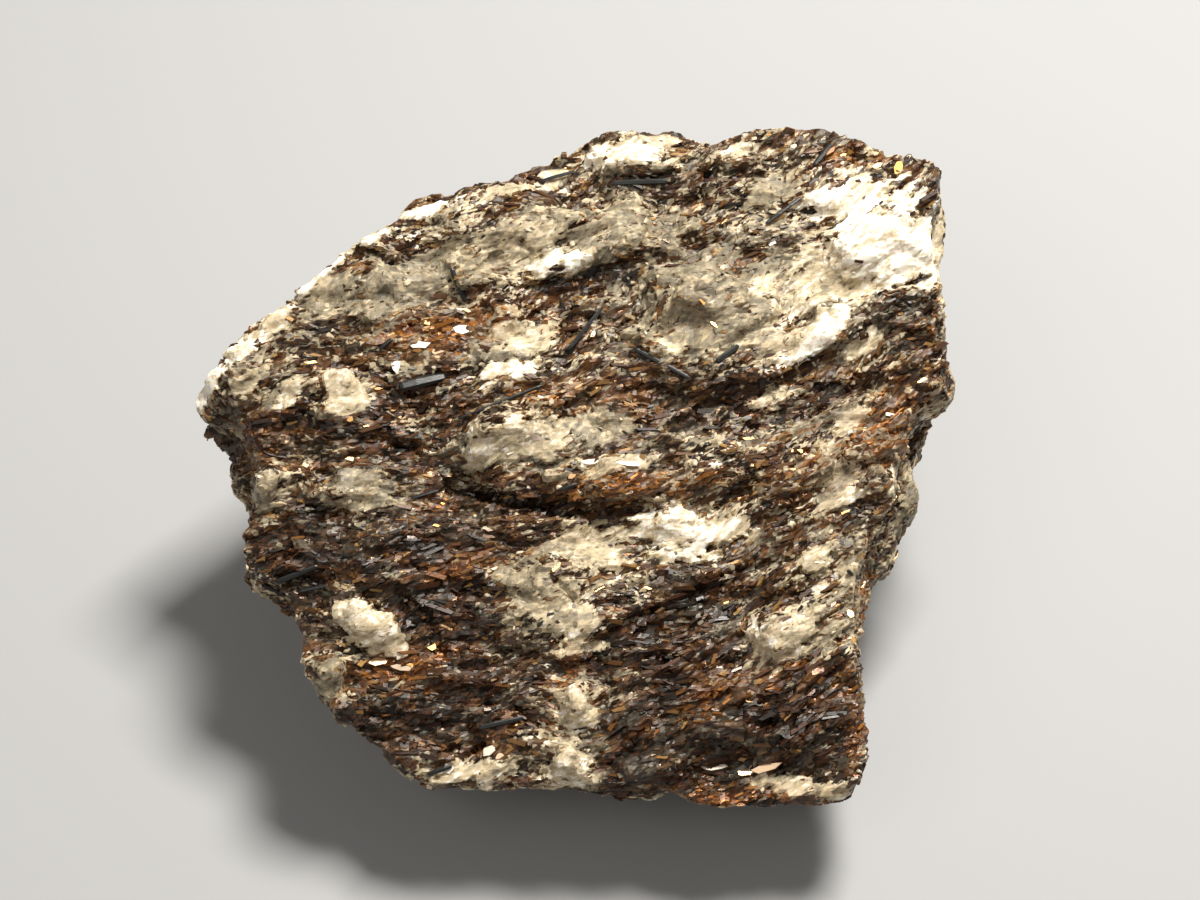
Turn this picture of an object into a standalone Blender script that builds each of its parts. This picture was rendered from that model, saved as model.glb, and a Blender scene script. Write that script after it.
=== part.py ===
"""Astrophyllite cluster: one broken hand specimen of foliated rock, 62 mm across.

Bronze-brown astrophyllite blades, cream feldspar and black aegirine needles grew into each other,
so the whole specimen is one solid. It is a wedge: a broad broken face rises from a low front
edge to a high crest at the back, and the walls run in under it to one small flat spot that it
rests on.

Lengths below are in millimetres and become metres when the mesh is made. X is to the right along
the broken face, Y runs from its low front edge to its crest, Z is up.
"""

import math
import random

import bmesh
import bpy
import numpy as np
from mathutils import Matrix, Vector, noise
from mathutils.bvhtree import BVHTree

# Driving dimensions
MM = 0.001
SEED = 11
FACE_TILT = math.radians(20.0)  # the broken face's rise, from its front edge to the crest
FACE_MIDDLE = Vector((0.0, 0.0, 20.0))  # the middle of the broken face
FACE_CROWN = 1.0  # how far the middle of the face stands above its edge
REST_CENTRE = Vector((2.0, 1.0, 0.0))  # the middle of the flat spot
BELOW_REST = 3.0  # how far the walls run on below the flat spot before it is cut
FOLIATION_ANGLE = math.radians(13.0)  # the blades' run across the face, measured from X
FOLIATION_SWING = 0.26  # radians to either side of that

# Relief of the broken face
FACE_LUMP = (11.0, 0.8)  # size and height
LATHS = 620  # flat-topped blades that cover the face
LATH_LENGTH = (3.6, 9.2)
LATH_WIDTH = (1.0, 2.2)
LATH_HEIGHT = (0.1, 1.0)
STEP_LIP = 0.4  # the low ridge along a ledge

# Relief of the walls, which are laid in layers parallel to the broken face
MEAN_RADIUS = 26.0  # of the walls, seen from above
WALL_LUMP = (11.0, 1.1)  # size and height
LAYER = (6.5, 2.1, 1.2)  # length, thickness, step
CHIP = (3.4, 1.1, 0.8)  # length, thickness, step

# Crystals that stand clear of the rest
FUSED_BLADES = 18
BLADE_LENGTH = (3.0, 6.0)
BLADE_WIDTH = (0.9, 1.5)
BLADE_HALF_THICKNESS = 0.36
WALL_BLADES = 10
WALL_BLADE_WIDTH = (1.0, 1.8)
FELDSPAR_HALF_THICKNESS = 0.55
CLEAVAGE_SHARE = 0.29  # a cleavage face's half length, as a share of its knob's length
NEEDLE_HALF_WIDTH = 0.36
NEEDLE_HALF_THICKNESS = 0.42
NEEDLE_LIFT = 0.25  # how far a needle's middle lies above the rock

# Mesh
CELL = 0.62  # size of the mesh's cells while the rock is shaped
BODY_TRIANGLES = 7200

# The broken face's edge, clockwise from the left tip. Each point is (X, slope distance up the
# face, how far that stretch of wall leans out by the time it reaches the ground).
RIM = [
    (-31.2, 5.2, -5.0),
    (-28.2, 8.2, -4.0),
    (-25.8, 10.4, -3.0),
    (-22.6, 13.0, -3.0),
    (-19.0, 17.2, -2.0),
    (-17.0, 19.0, -2.0),
    (-13.0, 21.0, -1.0),
    (-8.0, 22.0, -1.0),
    (-3.0, 23.6, -1.0),
    (1.0, 26.4, -2.0),
    (4.0, 27.4, -2.0),
    (9.2, 28.0, -2.0),
    (11.6, 25.8, -1.0),
    (14.0, 27.0, -2.0),
    (17.8, 28.4, -2.0),
    (22.8, 27.8, -2.0),
    (26.5, 26.0, -2.0),
    (31.0, 24.8, -3.0),
    (31.2, 21.6, -2.0),
    (29.8, 16.4, -1.0),
    (30.3, 13.2, -1.0),
    (30.1, 8.7, -0.5),
    (29.4, 5.7, 0.0),
    (28.2, 3.0, 0.5),
    (26.4, -0.6, 1.5),
    (25.4, -5.0, 0.5),
    (23.8, -8.5, 0.0),
    (23.0, -14.0, -1.0),
    (23.2, -21.4, -2.0),
    (22.9, -26.0, -3.0),
    (21.5, -28.4, -3.0),
    (15.6, -29.0, -2.0),
    (9.7, -29.8, -2.0),
    (5.0, -29.2, -2.0),
    (-1.2, -29.0, -2.0),
    (-9.8, -28.8, -2.0),
    (-12.8, -28.2, -2.0),
    (-13.9, -26.6, -2.0),
    (-17.2, -23.6, -1.0),
    (-21.2, -20.6, -1.0),
    (-22.0, -17.6, -1.0),
    (-22.0, -14.8, -1.0),
    (-24.4, -12.6, -1.0),
    (-26.4, -9.8, -1.0),
    (-26.0, -5.0, 0.5),
    (-25.4, -2.0, 1.5),
    (-26.6, 1.6, 2.0),
    (-30.0, 3.8, -2.0),
]

# Fracture planes that undercut the walls, each through three points (X, Y, Z).
FRACTURES = [
    ((-12.0, -27.0, 7.8), (22.0, -27.5, 8.2), (4.0, -9.0, 0.0)),
    ((-14.0, -24.5, 9.0), (-26.5, -8.0, 14.4), (-6.5, -5.0, 0.0)),
    ((-26.5, -7.0, 14.0), (-29.0, 8.0, 14.0), (-8.5, 2.5, 0.0)),
    ((-29.0, 8.0, 14.0), (-9.0, 21.0, 15.5), (-7.0, 8.0, 0.0)),
    ((-8.0, 23.0, 17.5), (28.0, 24.0, 13.0), (7.0, 12.0, 0.0)),
    ((29.5, 20.0, 12.5), (27.0, -4.0, 8.4), (14.0, 3.5, 0.0)),
    ((25.0, -5.0, 9.5), (22.0, -25.0, 6.6), (11.5, -7.0, 0.0)),
    ((31.0, 10.0, 12.0), (17.0, 26.0, 12.0), (13.0, 10.5, 0.0)),
    ((-3.0, 23.5, 24.0), (-24.0, 13.0, 19.0), (-12.0, 16.0, 9.0)),
]

# Ledges, where a layer broke off. Each is (how far the rock drops, how far the drop fades out
# behind the step, the points that the step runs through), all in the face's own plane.
LEDGES = [
    (2.0, 9.0, [(-12.0, -1.2), (-7.8, -3.2), (-4.5, -4.9), (1.9, -5.9), (11.6, -4.2), (16.4, -1.4)]),
    (1.3, 5.0, [(-6.0, 12.0), (1.9, 14.6), (6.8, 16.2)]),
    (1.4, 6.0, [(4.6, 5.2), (10.0, 4.1), (15.7, 4.6), (20.6, 6.6), (28.2, 12.6)]),
    (1.3, 5.0, [(-25.2, -11.4), (-19.7, -11.3), (-14.4, -13.1), (-10.8, -16.4)]),
    (1.7, 4.0, [(8.2, -26.6), (14.5, -25.8), (22.1, -27.0)]),
    (1.1, 5.0, [(-2.8, -20.6), (1.9, -16.4), (9.9, -12.9), (17.1, -11.6)]),
    (1.3, 4.0, [(-17.6, -23.4), (-11.5, -23.7), (-5.2, -24.2)]),
]

# Feldspar knobs: (X, slope distance, length, width, turn in degrees, height above the face).
KNOBS = [
    (-16.2, -15.4, 7.6, 4.0, -34, 1.6),
    (-19.2, -19.8, 4.6, 4.0, -30, 0.9),
    (0.6, -22.6, 5.0, 2.8, 85, 1.0),
    (-0.3, -27.0, 3.8, 3.4, 40, 0.9),
    (-1.3, -12.3, 8.0, 7.0, 50, 0.9),
    (8.5, -7.2, 6.6, 4.0, -12, 1.1),
    (-5.2, 0.5, 9.6, 4.6, 14, 1.1),
    (-17.3, -3.6, 7.0, 4.0, 10, 0.8),
    (11.6, 11.7, 12.0, 7.0, -12, 0.8),
    (24.6, 16.7, 11.0, 6.4, 20, 1.1),
    (-3.9, 18.2, 13.0, 4.4, 12, 0.9),
    (-18.8, 4.1, 5.0, 4.6, 30, 0.6),
    (-27.0, 5.2, 5.0, 3.4, 35, 0.5),
    (16.4, -16.3, 6.0, 4.6, 10, 0.7),
    (-24.4, -4.2, 4.4, 3.2, 70, 0.7),
    (20.4, -3.0, 3.6, 2.4, 50, 0.6),
    (24.4, -4.0, 5.0, 2.4, 80, 0.8),
]

# Lumps on the walls: (X, Y, Z, radius, how far they stand out).
WALL_LUMPS = [
    (30.0, 5.6, 19.6, 3.2, 1.7),
    (27.6, -1.6, 13.4, 3.0, 1.6),
    (27.0, -4.4, 12.0, 2.2, 1.4),
    (-29.6, 3.0, 18.4, 2.4, 0.9),
    (-27.4, 0.0, 14.6, 2.8, 1.2),
    (24.0, 22.0, 12.0, 6.0, 1.6),
    (-8.0, 20.0, 13.0, 7.0, 1.8),
    (10.0, 23.0, 15.0, 6.0, 1.6),
    (-22.0, 11.0, 11.0, 5.0, 1.4),
    (17.0, -14.0, 4.0, 5.0, 1.0),
    (-12.0, -14.0, 5.0, 5.0, 1.2),
]

# Black aegirine needles that lie on the face: (X, slope distance, length, turn in degrees).
NEEDLES = [
    (0.7, 10.2, 4.8, 52),
    (7.0, 7.1, 4.6, -32),
    (-12.4, 5.5, 4.2, 14),
    (-6.2, 3.9, 7.6, 22),
    (5.6, 23.3, 6.4, 2),
    (17.6, 20.5, 3.8, 48),
    (-6.0, -23.5, 4.6, -10),
    (-21.3, -11.0, 5.6, 6),
    (-9.4, 14.0, 3.6, -64),
    (-10.6, -26.6, 3.8, -16),
    (-0.9, -3.4, 3.4, 20),
]


def face_point(along, up, height=0.0):
    """A point given in the broken face's plane, as a point of the rock."""
    slope = Vector((0.0, math.cos(FACE_TILT), math.sin(FACE_TILT)))
    normal = Vector((0.0, -math.sin(FACE_TILT), math.cos(FACE_TILT)))
    return FACE_MIDDLE + Vector((along, 0.0, 0.0)) + slope * up + normal * height


def face_coordinates(points):
    """Every point's distance along the face, up its slope, and out of its plane."""
    offset = points - np.array(FACE_MIDDLE)
    cosine, sine = math.cos(FACE_TILT), math.sin(FACE_TILT)
    up = offset[:, 1] * cosine + offset[:, 2] * sine
    height = offset[:, 2] * cosine - offset[:, 1] * sine
    return offset[:, 0], up, height


def smoothstep(low, high, value):
    """0 below low, 1 above high, and smooth in between."""
    share = np.clip((value - low) / (high - low), 0.0, 1.0)
    return share * share * (3.0 - 2.0 * share)


def rough(points, size, octaves=3, shift=0.0):
    """Fractal noise from about -1 to 1, whose lumps are size across."""
    offset = Vector((shift, 1.7 * shift, -shift))
    return np.array(
        [noise.fractal(Vector(p) / size + offset, 0.9, 2.1, octaves) for p in points]
    )


def object_from(name, bm):
    """Makes an object of a bmesh and frees it."""
    mesh = bpy.data.meshes.new(name)
    bm.to_mesh(mesh)
    bm.free()
    obj = bpy.data.objects.new(name, mesh)
    bpy.context.scene.collection.objects.link(obj)
    return obj


def apply_modifiers(obj):
    """Replaces the object's mesh by what its modifiers make of it."""
    graph = bpy.context.evaluated_depsgraph_get()
    mesh = bpy.data.meshes.new_from_object(obj.evaluated_get(graph))
    obj.modifiers.clear()
    obj.data = mesh


def positions(obj):
    """The mesh's points as an array."""
    flat = np.zeros(3 * len(obj.data.vertices))
    obj.data.vertices.foreach_get("co", flat)
    return flat.reshape(-1, 3)


def vertex_normals(obj):
    """The mesh's normals at its points as an array."""
    flat = np.zeros(3 * len(obj.data.vertices))
    obj.data.vertices.foreach_get("normal", flat)
    return flat.reshape(-1, 3)


def move_to(obj, points):
    """Gives the mesh new positions for its points."""
    obj.data.vertices.foreach_set("co", points.ravel())
    obj.data.update()


def walls_and_face():
    """The block before its underside broke away: the broken face, and walls down from its edge."""
    bm = bmesh.new()
    rim, foot = [], []
    for along, up, lean in RIM:
        edge = face_point(along, up)
        away = Vector((edge.x - REST_CENTRE.x, edge.y - REST_CENTRE.y, 0.0)).normalized()
        ground = edge + away * lean
        ground.z = -BELOW_REST
        rim.append(bm.verts.new(edge))
        foot.append(bm.verts.new(ground))
    count = len(RIM)
    for i in range(count):
        j = (i + 1) % count
        bm.faces.new((rim[i], rim[j], foot[j], foot[i]))
    crown = bm.verts.new(face_point(0.0, 0.0, FACE_CROWN))
    for i in range(count):
        bm.faces.new((rim[(i + 1) % count], rim[i], crown))
    bm.faces.new(foot)
    bmesh.ops.recalc_face_normals(bm, faces=bm.faces[:])
    return bm


def break_off(bm, level, normal):
    """Removes what lies beyond a plane and closes the rock with the fresh flat fracture."""
    everything = bm.verts[:] + bm.edges[:] + bm.faces[:]
    bmesh.ops.bisect_plane(bm, geom=everything, plane_co=level, plane_no=normal, clear_outer=True)
    bmesh.ops.holes_fill(bm, edges=[e for e in bm.edges if e.is_boundary])
    bmesh.ops.recalc_face_normals(bm, faces=bm.faces[:])


def broken_block():
    """The wedge itself, with its walls undercut by the fracture planes."""
    bm = walls_and_face()
    for points in FRACTURES:
        first, second, third = (Vector(p) for p in points)
        normal = (second - first).cross(third - first).normalized()
        if normal.dot(first - FACE_MIDDLE * 0.5) < 0.0:
            normal.negate()
        break_off(bm, first, normal)
    bmesh.ops.triangulate(bm, faces=bm.faces[:])
    return object_from("astrophyllite_cluster", bm)


def distance_to_step(along, up, route):
    """How far each point lies below a step's route, and its share of the way along the route."""
    best = np.full(len(along), 1e9)
    side = np.zeros(len(along))
    share = np.zeros(len(along))
    for k, ((x0, y0), (x1, y1)) in enumerate(zip(route, route[1:])):
        run = np.array((x1 - x0, y1 - y0))
        length = np.linalg.norm(run)
        dx, dy = along - x0, up - y0
        t = np.clip((dx * run[0] + dy * run[1]) / length**2, 0.0, 1.0)
        apart = np.hypot(dx - t * run[0], dy - t * run[1])
        below = np.sign(run[1] * dx - run[0] * dy)
        near = apart < best
        best = np.where(near, apart, best)
        side = np.where(near, below * apart, side)
        share = np.where(near, (k + t) / (len(route) - 1), share)
    return side, share


def face_relief(points):
    """How far the broken face stands above its plane: ledges, knobs, blade ridges and lumps."""
    along, up, _ = face_coordinates(points)
    wander = 0.6 * rough(points, 4.0, 2, 3.0)
    size, height = FACE_LUMP
    relief = height * rough(points, size, 3, 5.0)
    for drop, fade, route in LEDGES:
        below, share = distance_to_step(along, up, route)
        ends = smoothstep(0.0, 0.22, share) * (1.0 - smoothstep(0.78, 1.0, share))
        step = smoothstep(-0.4, 0.6, below + wander)
        lip = STEP_LIP * np.exp(-((below + 1.0) ** 2) / 1.5)
        relief += ends * (lip - drop * step * np.exp(-np.maximum(below, 0.0) / fade))
    for x, y, length, width, turn, height in KNOBS:
        angle = math.radians(turn)
        dx, dy = along - x, up - y
        a = (dx * math.cos(angle) + dy * math.sin(angle)) / (0.5 * length)
        b = (dy * math.cos(angle) - dx * math.sin(angle)) / (0.5 * width)
        inside = 1.0 - smoothstep(0.55, 1.15, np.hypot(a, b) + 0.25 * wander)
        relief += height * inside
    return relief


def flow_angle(along, up):
    """The way the blades run at a place on the face: along the foliation, which swings a little."""
    return FOLIATION_ANGLE + FOLIATION_SWING * np.sin(0.11 * along + 0.09 * up + 0.4)


def lath_relief(along, up):
    """Overlapping flat-topped blades: at each point, the highest of those that cover it."""
    rng = random.Random(SEED)
    relief = np.full(len(along), 0.0)
    for _ in range(LATHS):
        x, y = rng.uniform(-32.0, 32.0), rng.uniform(-29.0, 30.0)
        angle = float(flow_angle(x, y)) + rng.gauss(0.0, 0.16)
        half_length, half_width = 0.5 * rng.uniform(*LATH_LENGTH), 0.5 * rng.uniform(*LATH_WIDTH)
        dx, dy = along - x, up - y
        a = dx * math.cos(angle) + dy * math.sin(angle)
        b = dy * math.cos(angle) - dx * math.sin(angle)
        tilt_along, tilt_across = rng.gauss(0.0, 0.06), rng.gauss(0.0, 0.28)
        top = rng.uniform(*LATH_HEIGHT) + tilt_along * a + tilt_across * b
        slanted_end = np.abs(a) + 0.5 * np.abs(b) < half_length
        inside = slanted_end & (np.abs(b) < half_width)
        relief = np.where(inside, np.maximum(relief, top), relief)
    return relief


def scatter(value):
    """A number from 0 to 1 for each value, with no pattern to be seen in how it follows it."""
    return np.abs(np.modf(np.sin(value) * 437.585)[0])


def block_steps(along_wall, height, block, shift):
    """Random steps, one for each block of a wall that is laid in layers."""
    length, thickness, step = block
    layer = np.floor(height / thickness)
    slide = scatter(12.99 * layer + shift)
    column = np.floor(along_wall / length + 3.0 * slide)
    return step * scatter(78.23 * layer + 37.72 * column + shift)


def wall_coordinates(points):
    """Every point's distance round the walls, its height from the broken face, and its layer's bend."""
    _, _, height = face_coordinates(points)
    angle = np.arctan2(points[:, 1] - REST_CENTRE.y, points[:, 0] - REST_CENTRE.x)
    round_wall = angle * MEAN_RADIUS
    return round_wall, height, 1.2 * rough(points, 9.0, 2, 21.0) + 0.02 * round_wall


def wall_relief(points):
    """How far the walls stand out: layers parallel to the broken face, and lumps."""
    round_wall, height, bend = wall_coordinates(points)
    size, lump = WALL_LUMP
    relief = lump * rough(points, size, 3, 17.0)
    relief += block_steps(round_wall + bend, height + bend, LAYER, 1.0) - 0.5 * LAYER[2]
    for x, y, z, radius, out in WALL_LUMPS:
        apart = np.linalg.norm(points - np.array((x, y, z)), axis=1)
        relief += out * (1.0 - smoothstep(0.3, 1.0, apart / radius))
    return relief


def wall_chips(points):
    """The small steps where blades broke off in the walls."""
    round_wall, height, bend = wall_coordinates(points)
    return block_steps(round_wall - bend, height + bend, CHIP, 5.0) - 0.5 * CHIP[2]


def face_blades(points):
    """The overlapping blades of the broken face."""
    along, up, _ = face_coordinates(points)
    return lath_relief(along, up) - 0.3


def shape_surface(rock, on_the_face, on_the_walls):
    """Moves the rock's surface out and in by its relief: along the face's normal, or the wall's."""
    points, normals = positions(rock), vertex_normals(rock)
    face_normal = np.array((0.0, -math.sin(FACE_TILT), math.cos(FACE_TILT)))
    _, _, height = face_coordinates(points)
    share = smoothstep(0.5, 0.8, normals @ face_normal) * smoothstep(-4.5, -3.0, height)
    outward = normals * (1.0 - share[:, None]) + face_normal * share[:, None]
    outward /= np.linalg.norm(outward, axis=1)[:, None]
    relief = share * on_the_face(points) + (1.0 - share) * on_the_walls(points)
    move_to(rock, points + outward * relief[:, None])


def remesh(rock, cell):
    """Gives the rock an even mesh with cells of this size, and one skin."""
    modifier = rock.modifiers.new("even_cells", "REMESH")
    modifier.mode = "VOXEL"
    modifier.voxel_size = cell
    modifier.adaptivity = 0.0
    apply_modifiers(rock)


def thin_out(rock, triangles):
    """Reduces the rock to about this many triangles, keeping those that its relief needs."""
    rock.modifiers.new("triangles", "TRIANGULATE")
    apply_modifiers(rock)
    modifier = rock.modifiers.new("fewer", "DECIMATE")
    modifier.ratio = triangles / len(rock.data.polygons)
    modifier.use_collapse_triangulate = True
    apply_modifiers(rock)


def cut_flat_spot(rock):
    """Ends the rock at Z 0, which leaves the one flat face that it rests on."""
    bm = bmesh.new()
    bm.from_mesh(rock.data)
    break_off(bm, Vector((0.0, 0.0, 0.0)), Vector((0.0, 0.0, -1.0)))
    bmesh.ops.triangulate(bm, faces=bm.faces[:])
    bm.to_mesh(rock.data)
    bm.free()


def crystal(name, outline, half_thickness, taper, matrix):
    """A closed flat-faced crystal: an outline in its own XY plane, thick along Z, tapered up."""
    bm = bmesh.new()
    lower = [bm.verts.new((x, y, -half_thickness)) for x, y in outline]
    upper = [bm.verts.new((taper * x, taper * y, half_thickness)) for x, y in outline]
    count = len(outline)
    for i in range(count):
        j = (i + 1) % count
        bm.faces.new((lower[i], lower[j], upper[j], upper[i]))
    bm.faces.new(upper)
    bm.faces.new(lower[::-1])
    bmesh.ops.transform(bm, matrix=matrix, verts=bm.verts[:])
    bmesh.ops.recalc_face_normals(bm, faces=bm.faces[:])
    return object_from(name, bm)


def blade_outline(length, width):
    """A blade's long six-sided outline, pointed at both ends."""
    a, b = 0.5 * length, 0.5 * width
    near_side = [(-a, 0.0), (-0.7 * a, -b), (0.75 * a, -0.9 * b)]
    far_side = [(a, 0.1 * b), (0.6 * a, b), (-0.8 * a, 0.8 * b)]
    return near_side + far_side


def cleavage_outline(a, b):
    """The outline of a feldspar grain's flat cleavage face."""
    near_side = [(-a, -0.7 * b), (0.2 * a, -b), (a, -0.5 * b)]
    far_side = [(0.8 * a, 0.8 * b), (-0.1 * a, b), (-0.9 * a, 0.5 * b)]
    return near_side + far_side


def needle_outline(a, b):
    """A needle's straight-sided outline, with blunt ends."""
    return [(-a, -0.6 * b), (-0.9 * a, -b), (0.9 * a, -b), (a, 0.6 * b), (0.9 * a, b), (-0.9 * a, b)]


def lying_on(point, normal, run, pitch=0.0, roll=0.0):
    """A matrix that lays a crystal's XY plane on the surface, with its X along run."""
    normal = normal.normalized()
    side = normal.cross(run).normalized()
    along = side.cross(normal).normalized()
    turned = Matrix((along, side, normal)).transposed().to_4x4()
    tilt = Matrix.Rotation(pitch, 4, "Y") @ Matrix.Rotation(roll, 4, "X")
    return Matrix.Translation(point) @ turned @ tilt


def run_direction(point, turn=0.0):
    """The way the blades run at a point of the face, turned by this much, as a direction."""
    angle = float(flow_angle(point.x, point.y / math.cos(FACE_TILT))) + turn
    slope = Vector((0.0, math.cos(FACE_TILT), math.sin(FACE_TILT)))
    return Vector((math.cos(angle), 0.0, 0.0)) + slope * math.sin(angle)


def on_surface(tree, along, up):
    """The rock's surface over a point of the face, with its normal."""
    down = Vector((0.0, math.sin(FACE_TILT), -math.cos(FACE_TILT)))
    point, normal, _, _ = tree.ray_cast(face_point(along, up, 20.0), down)
    return point, normal


def face_crystals(tree, rng):
    """Blades all over the broken face, feldspar with flat cleavage faces, and the needles."""
    made = []
    face_normal = Vector((0.0, -math.sin(FACE_TILT), math.cos(FACE_TILT)))
    for k in range(FUSED_BLADES):
        along, up = rng.uniform(-30.0, 30.0), rng.uniform(-27.0, 28.0)
        point, normal = on_surface(tree, along, up)
        if point is None or normal.dot(face_normal) < 0.55:
            continue
        outline = blade_outline(rng.uniform(*BLADE_LENGTH), rng.uniform(*BLADE_WIDTH))
        run = run_direction(point, rng.gauss(0.0, 0.22))
        place = lying_on(point, normal + face_normal, run, rng.gauss(0.0, 0.10), rng.gauss(0.0, 0.30))
        made.append(crystal(f"blade_{k}", outline, BLADE_HALF_THICKNESS, 0.86, place))
    for k, (x, y, length, width, turn, _) in enumerate(KNOBS):
        point, normal = on_surface(tree, x, y)
        run = Vector((math.cos(math.radians(turn)), math.sin(math.radians(turn)), 0.0))
        out = normal.normalized() + 2.0 * face_normal
        place = lying_on(point, out, run, rng.gauss(0.0, 0.09), rng.gauss(0.0, 0.09))
        outline = cleavage_outline(CLEAVAGE_SHARE * length, CLEAVAGE_SHARE * width)
        made.append(crystal(f"feldspar_{k}", outline, FELDSPAR_HALF_THICKNESS, 0.78, place))
    for k, (x, y, length, turn) in enumerate(NEEDLES):
        point, normal = on_surface(tree, x, y)
        slope = Vector((0.0, math.cos(FACE_TILT), math.sin(FACE_TILT)))
        angle = math.radians(turn)
        run = Vector((math.cos(angle), 0.0, 0.0)) + slope * math.sin(angle)
        place = lying_on(point + NEEDLE_LIFT * normal, face_normal, run)
        outline = needle_outline(0.5 * length, NEEDLE_HALF_WIDTH)
        made.append(crystal(f"needle_{k}", outline, NEEDLE_HALF_THICKNESS, 0.9, place))
    return made


def wall_crystals(rock, rng):
    """Blades in the walls, lying in the foliation, so that their edges stand out as small steps."""
    made = []
    slope_normal = Vector((0.0, -math.sin(FACE_TILT), math.cos(FACE_TILT)))
    sides = [p for p in rock.data.polygons if abs(p.normal.dot(slope_normal)) < 0.6 and p.center.z > 2.0]
    for k, polygon in enumerate(rng.sample(sides, WALL_BLADES)):
        edge_run = slope_normal.cross(polygon.normal)
        outline = blade_outline(rng.uniform(*BLADE_LENGTH), rng.uniform(*WALL_BLADE_WIDTH))
        place = lying_on(polygon.center, slope_normal, edge_run, rng.gauss(0.0, 0.1), rng.gauss(0.0, 0.2))
        made.append(crystal(f"wall_blade_{k}", outline, BLADE_HALF_THICKNESS, 0.86, place))
    return made


def fuse(rock, crystals):
    """Joins the crystals to the rock that they grow from, in one solid."""
    group = bpy.data.collections.new("crystals")
    for piece in crystals:
        bpy.context.scene.collection.objects.unlink(piece)
        group.objects.link(piece)
    modifier = rock.modifiers.new("grown_together", "BOOLEAN")
    modifier.operation = "UNION"
    modifier.operand_type = "COLLECTION"
    modifier.collection = group
    modifier.solver = "EXACT"
    modifier.use_self = True
    apply_modifiers(rock)
    for piece in crystals:
        bpy.data.objects.remove(piece)
    bpy.data.collections.remove(group)


def fill_pockets(rock):
    """Keeps the rock's outer skin alone, so that no pocket is left sealed in under a crystal."""
    bm = bmesh.new()
    bm.from_mesh(rock.data)
    unseen = set(bm.verts)
    skins = []
    while unseen:
        skin, edge_of_search = set(), [unseen.pop()]
        while edge_of_search:
            vertex = edge_of_search.pop()
            skin.add(vertex)
            for edge in vertex.link_edges:
                other = edge.other_vert(vertex)
                if other in unseen:
                    unseen.remove(other)
                    edge_of_search.append(other)
        skins.append(skin)
    outer = max(skins, key=len)
    bmesh.ops.delete(bm, geom=[v for v in bm.verts if v not in outer], context="VERTS")
    bm.to_mesh(rock.data)
    bm.free()


def set_on_origin(rock):
    """Puts the middle of the specimen's footprint on the origin, in metres."""
    points = positions(rock)
    middle = 0.5 * (points.min(axis=0) + points.max(axis=0))
    middle[2] = 0.0
    move_to(rock, (points - middle) * MM)


def stone():
    """Brown blades and cream feldspar seen from far off: a middling warm grey-brown."""
    material = bpy.data.materials.new("speckled_stone")
    material.use_nodes = True
    shader = material.node_tree.nodes["Principled BSDF"]
    shader.inputs["Base Color"].default_value = (0.16, 0.11, 0.075, 1.0)
    shader.inputs["Roughness"].default_value = 0.55
    shader.inputs["Metallic"].default_value = 0.0
    return material


def main():
    for old in list(bpy.data.objects):
        bpy.data.objects.remove(old)
    rng = random.Random(SEED)
    rock = broken_block()
    remesh(rock, CELL)
    shape_surface(rock, face_relief, wall_relief)
    remesh(rock, CELL)
    shape_surface(rock, face_blades, wall_chips)
    thin_out(rock, BODY_TRIANGLES)
    cut_flat_spot(rock)
    tree = BVHTree.FromPolygons(
        [v.co.copy() for v in rock.data.vertices], [p.vertices[:] for p in rock.data.polygons]
    )
    crystals = face_crystals(tree, rng) + wall_crystals(rock, rng)
    fuse(rock, crystals)
    fill_pockets(rock)
    set_on_origin(rock)
    rock.data.materials.clear()
    rock.data.materials.append(stone())
    rock.data.update()
    return rock


main()
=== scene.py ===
# %% [markdown]
# # Astrophyllite cluster
# This is a broken hand specimen of foliated rock, 62 mm across. Thin bronze-brown blades of
# astrophyllite, cream and white feldspar, and black needles of aegirine all grew together, so the
# specimen is one solid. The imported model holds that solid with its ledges, knobs and larger
# crystals. This script dresses it: a finer skin, thousands of small blades and grains that follow
# the run of the rock, the needles, and the finishes.
#
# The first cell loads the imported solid. It is the fixed frame that every piece here is set on.

import math
import random

import bmesh
import bpy
import numpy as np
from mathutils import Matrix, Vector, noise
from mathutils.bvhtree import BVHTree


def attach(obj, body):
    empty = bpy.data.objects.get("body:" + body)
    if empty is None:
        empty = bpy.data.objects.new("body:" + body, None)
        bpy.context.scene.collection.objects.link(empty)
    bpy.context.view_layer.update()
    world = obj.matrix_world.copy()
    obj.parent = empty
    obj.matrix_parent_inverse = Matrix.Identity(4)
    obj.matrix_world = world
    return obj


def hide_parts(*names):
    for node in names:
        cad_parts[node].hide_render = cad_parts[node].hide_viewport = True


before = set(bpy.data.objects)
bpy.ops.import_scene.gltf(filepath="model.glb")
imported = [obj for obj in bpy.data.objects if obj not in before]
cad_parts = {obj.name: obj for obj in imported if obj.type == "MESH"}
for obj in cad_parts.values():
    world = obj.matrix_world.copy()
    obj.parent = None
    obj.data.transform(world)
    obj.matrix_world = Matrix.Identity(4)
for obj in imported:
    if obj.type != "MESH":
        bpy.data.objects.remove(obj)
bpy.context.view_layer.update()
ROCK = "astrophyllite_cluster"
MM = 0.001

# %% [markdown]
# ## Camera
# The photograph looks down on the specimen at about 50 degrees with a long lens. The camera comes
# first, because features that were located in the photograph are found again by sending a ray
# through the same pixel and seeing where it meets the rock.

# %% Camera
ELEVATION = math.radians(50.0)
CAMERA_DISTANCE = 0.299
CAMERA_TARGET = Vector((0.0019, 0.0012, 0.018))
LENS = 110.0
SENSOR = 36.0
PHOTO_WIDTH, PHOTO_HEIGHT = 1200, 900

towards_camera = Vector((0.0, -math.cos(ELEVATION), math.sin(ELEVATION)))
camera_up = Vector((0.0, math.sin(ELEVATION), math.cos(ELEVATION)))
camera_place = CAMERA_TARGET + towards_camera * CAMERA_DISTANCE

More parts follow.
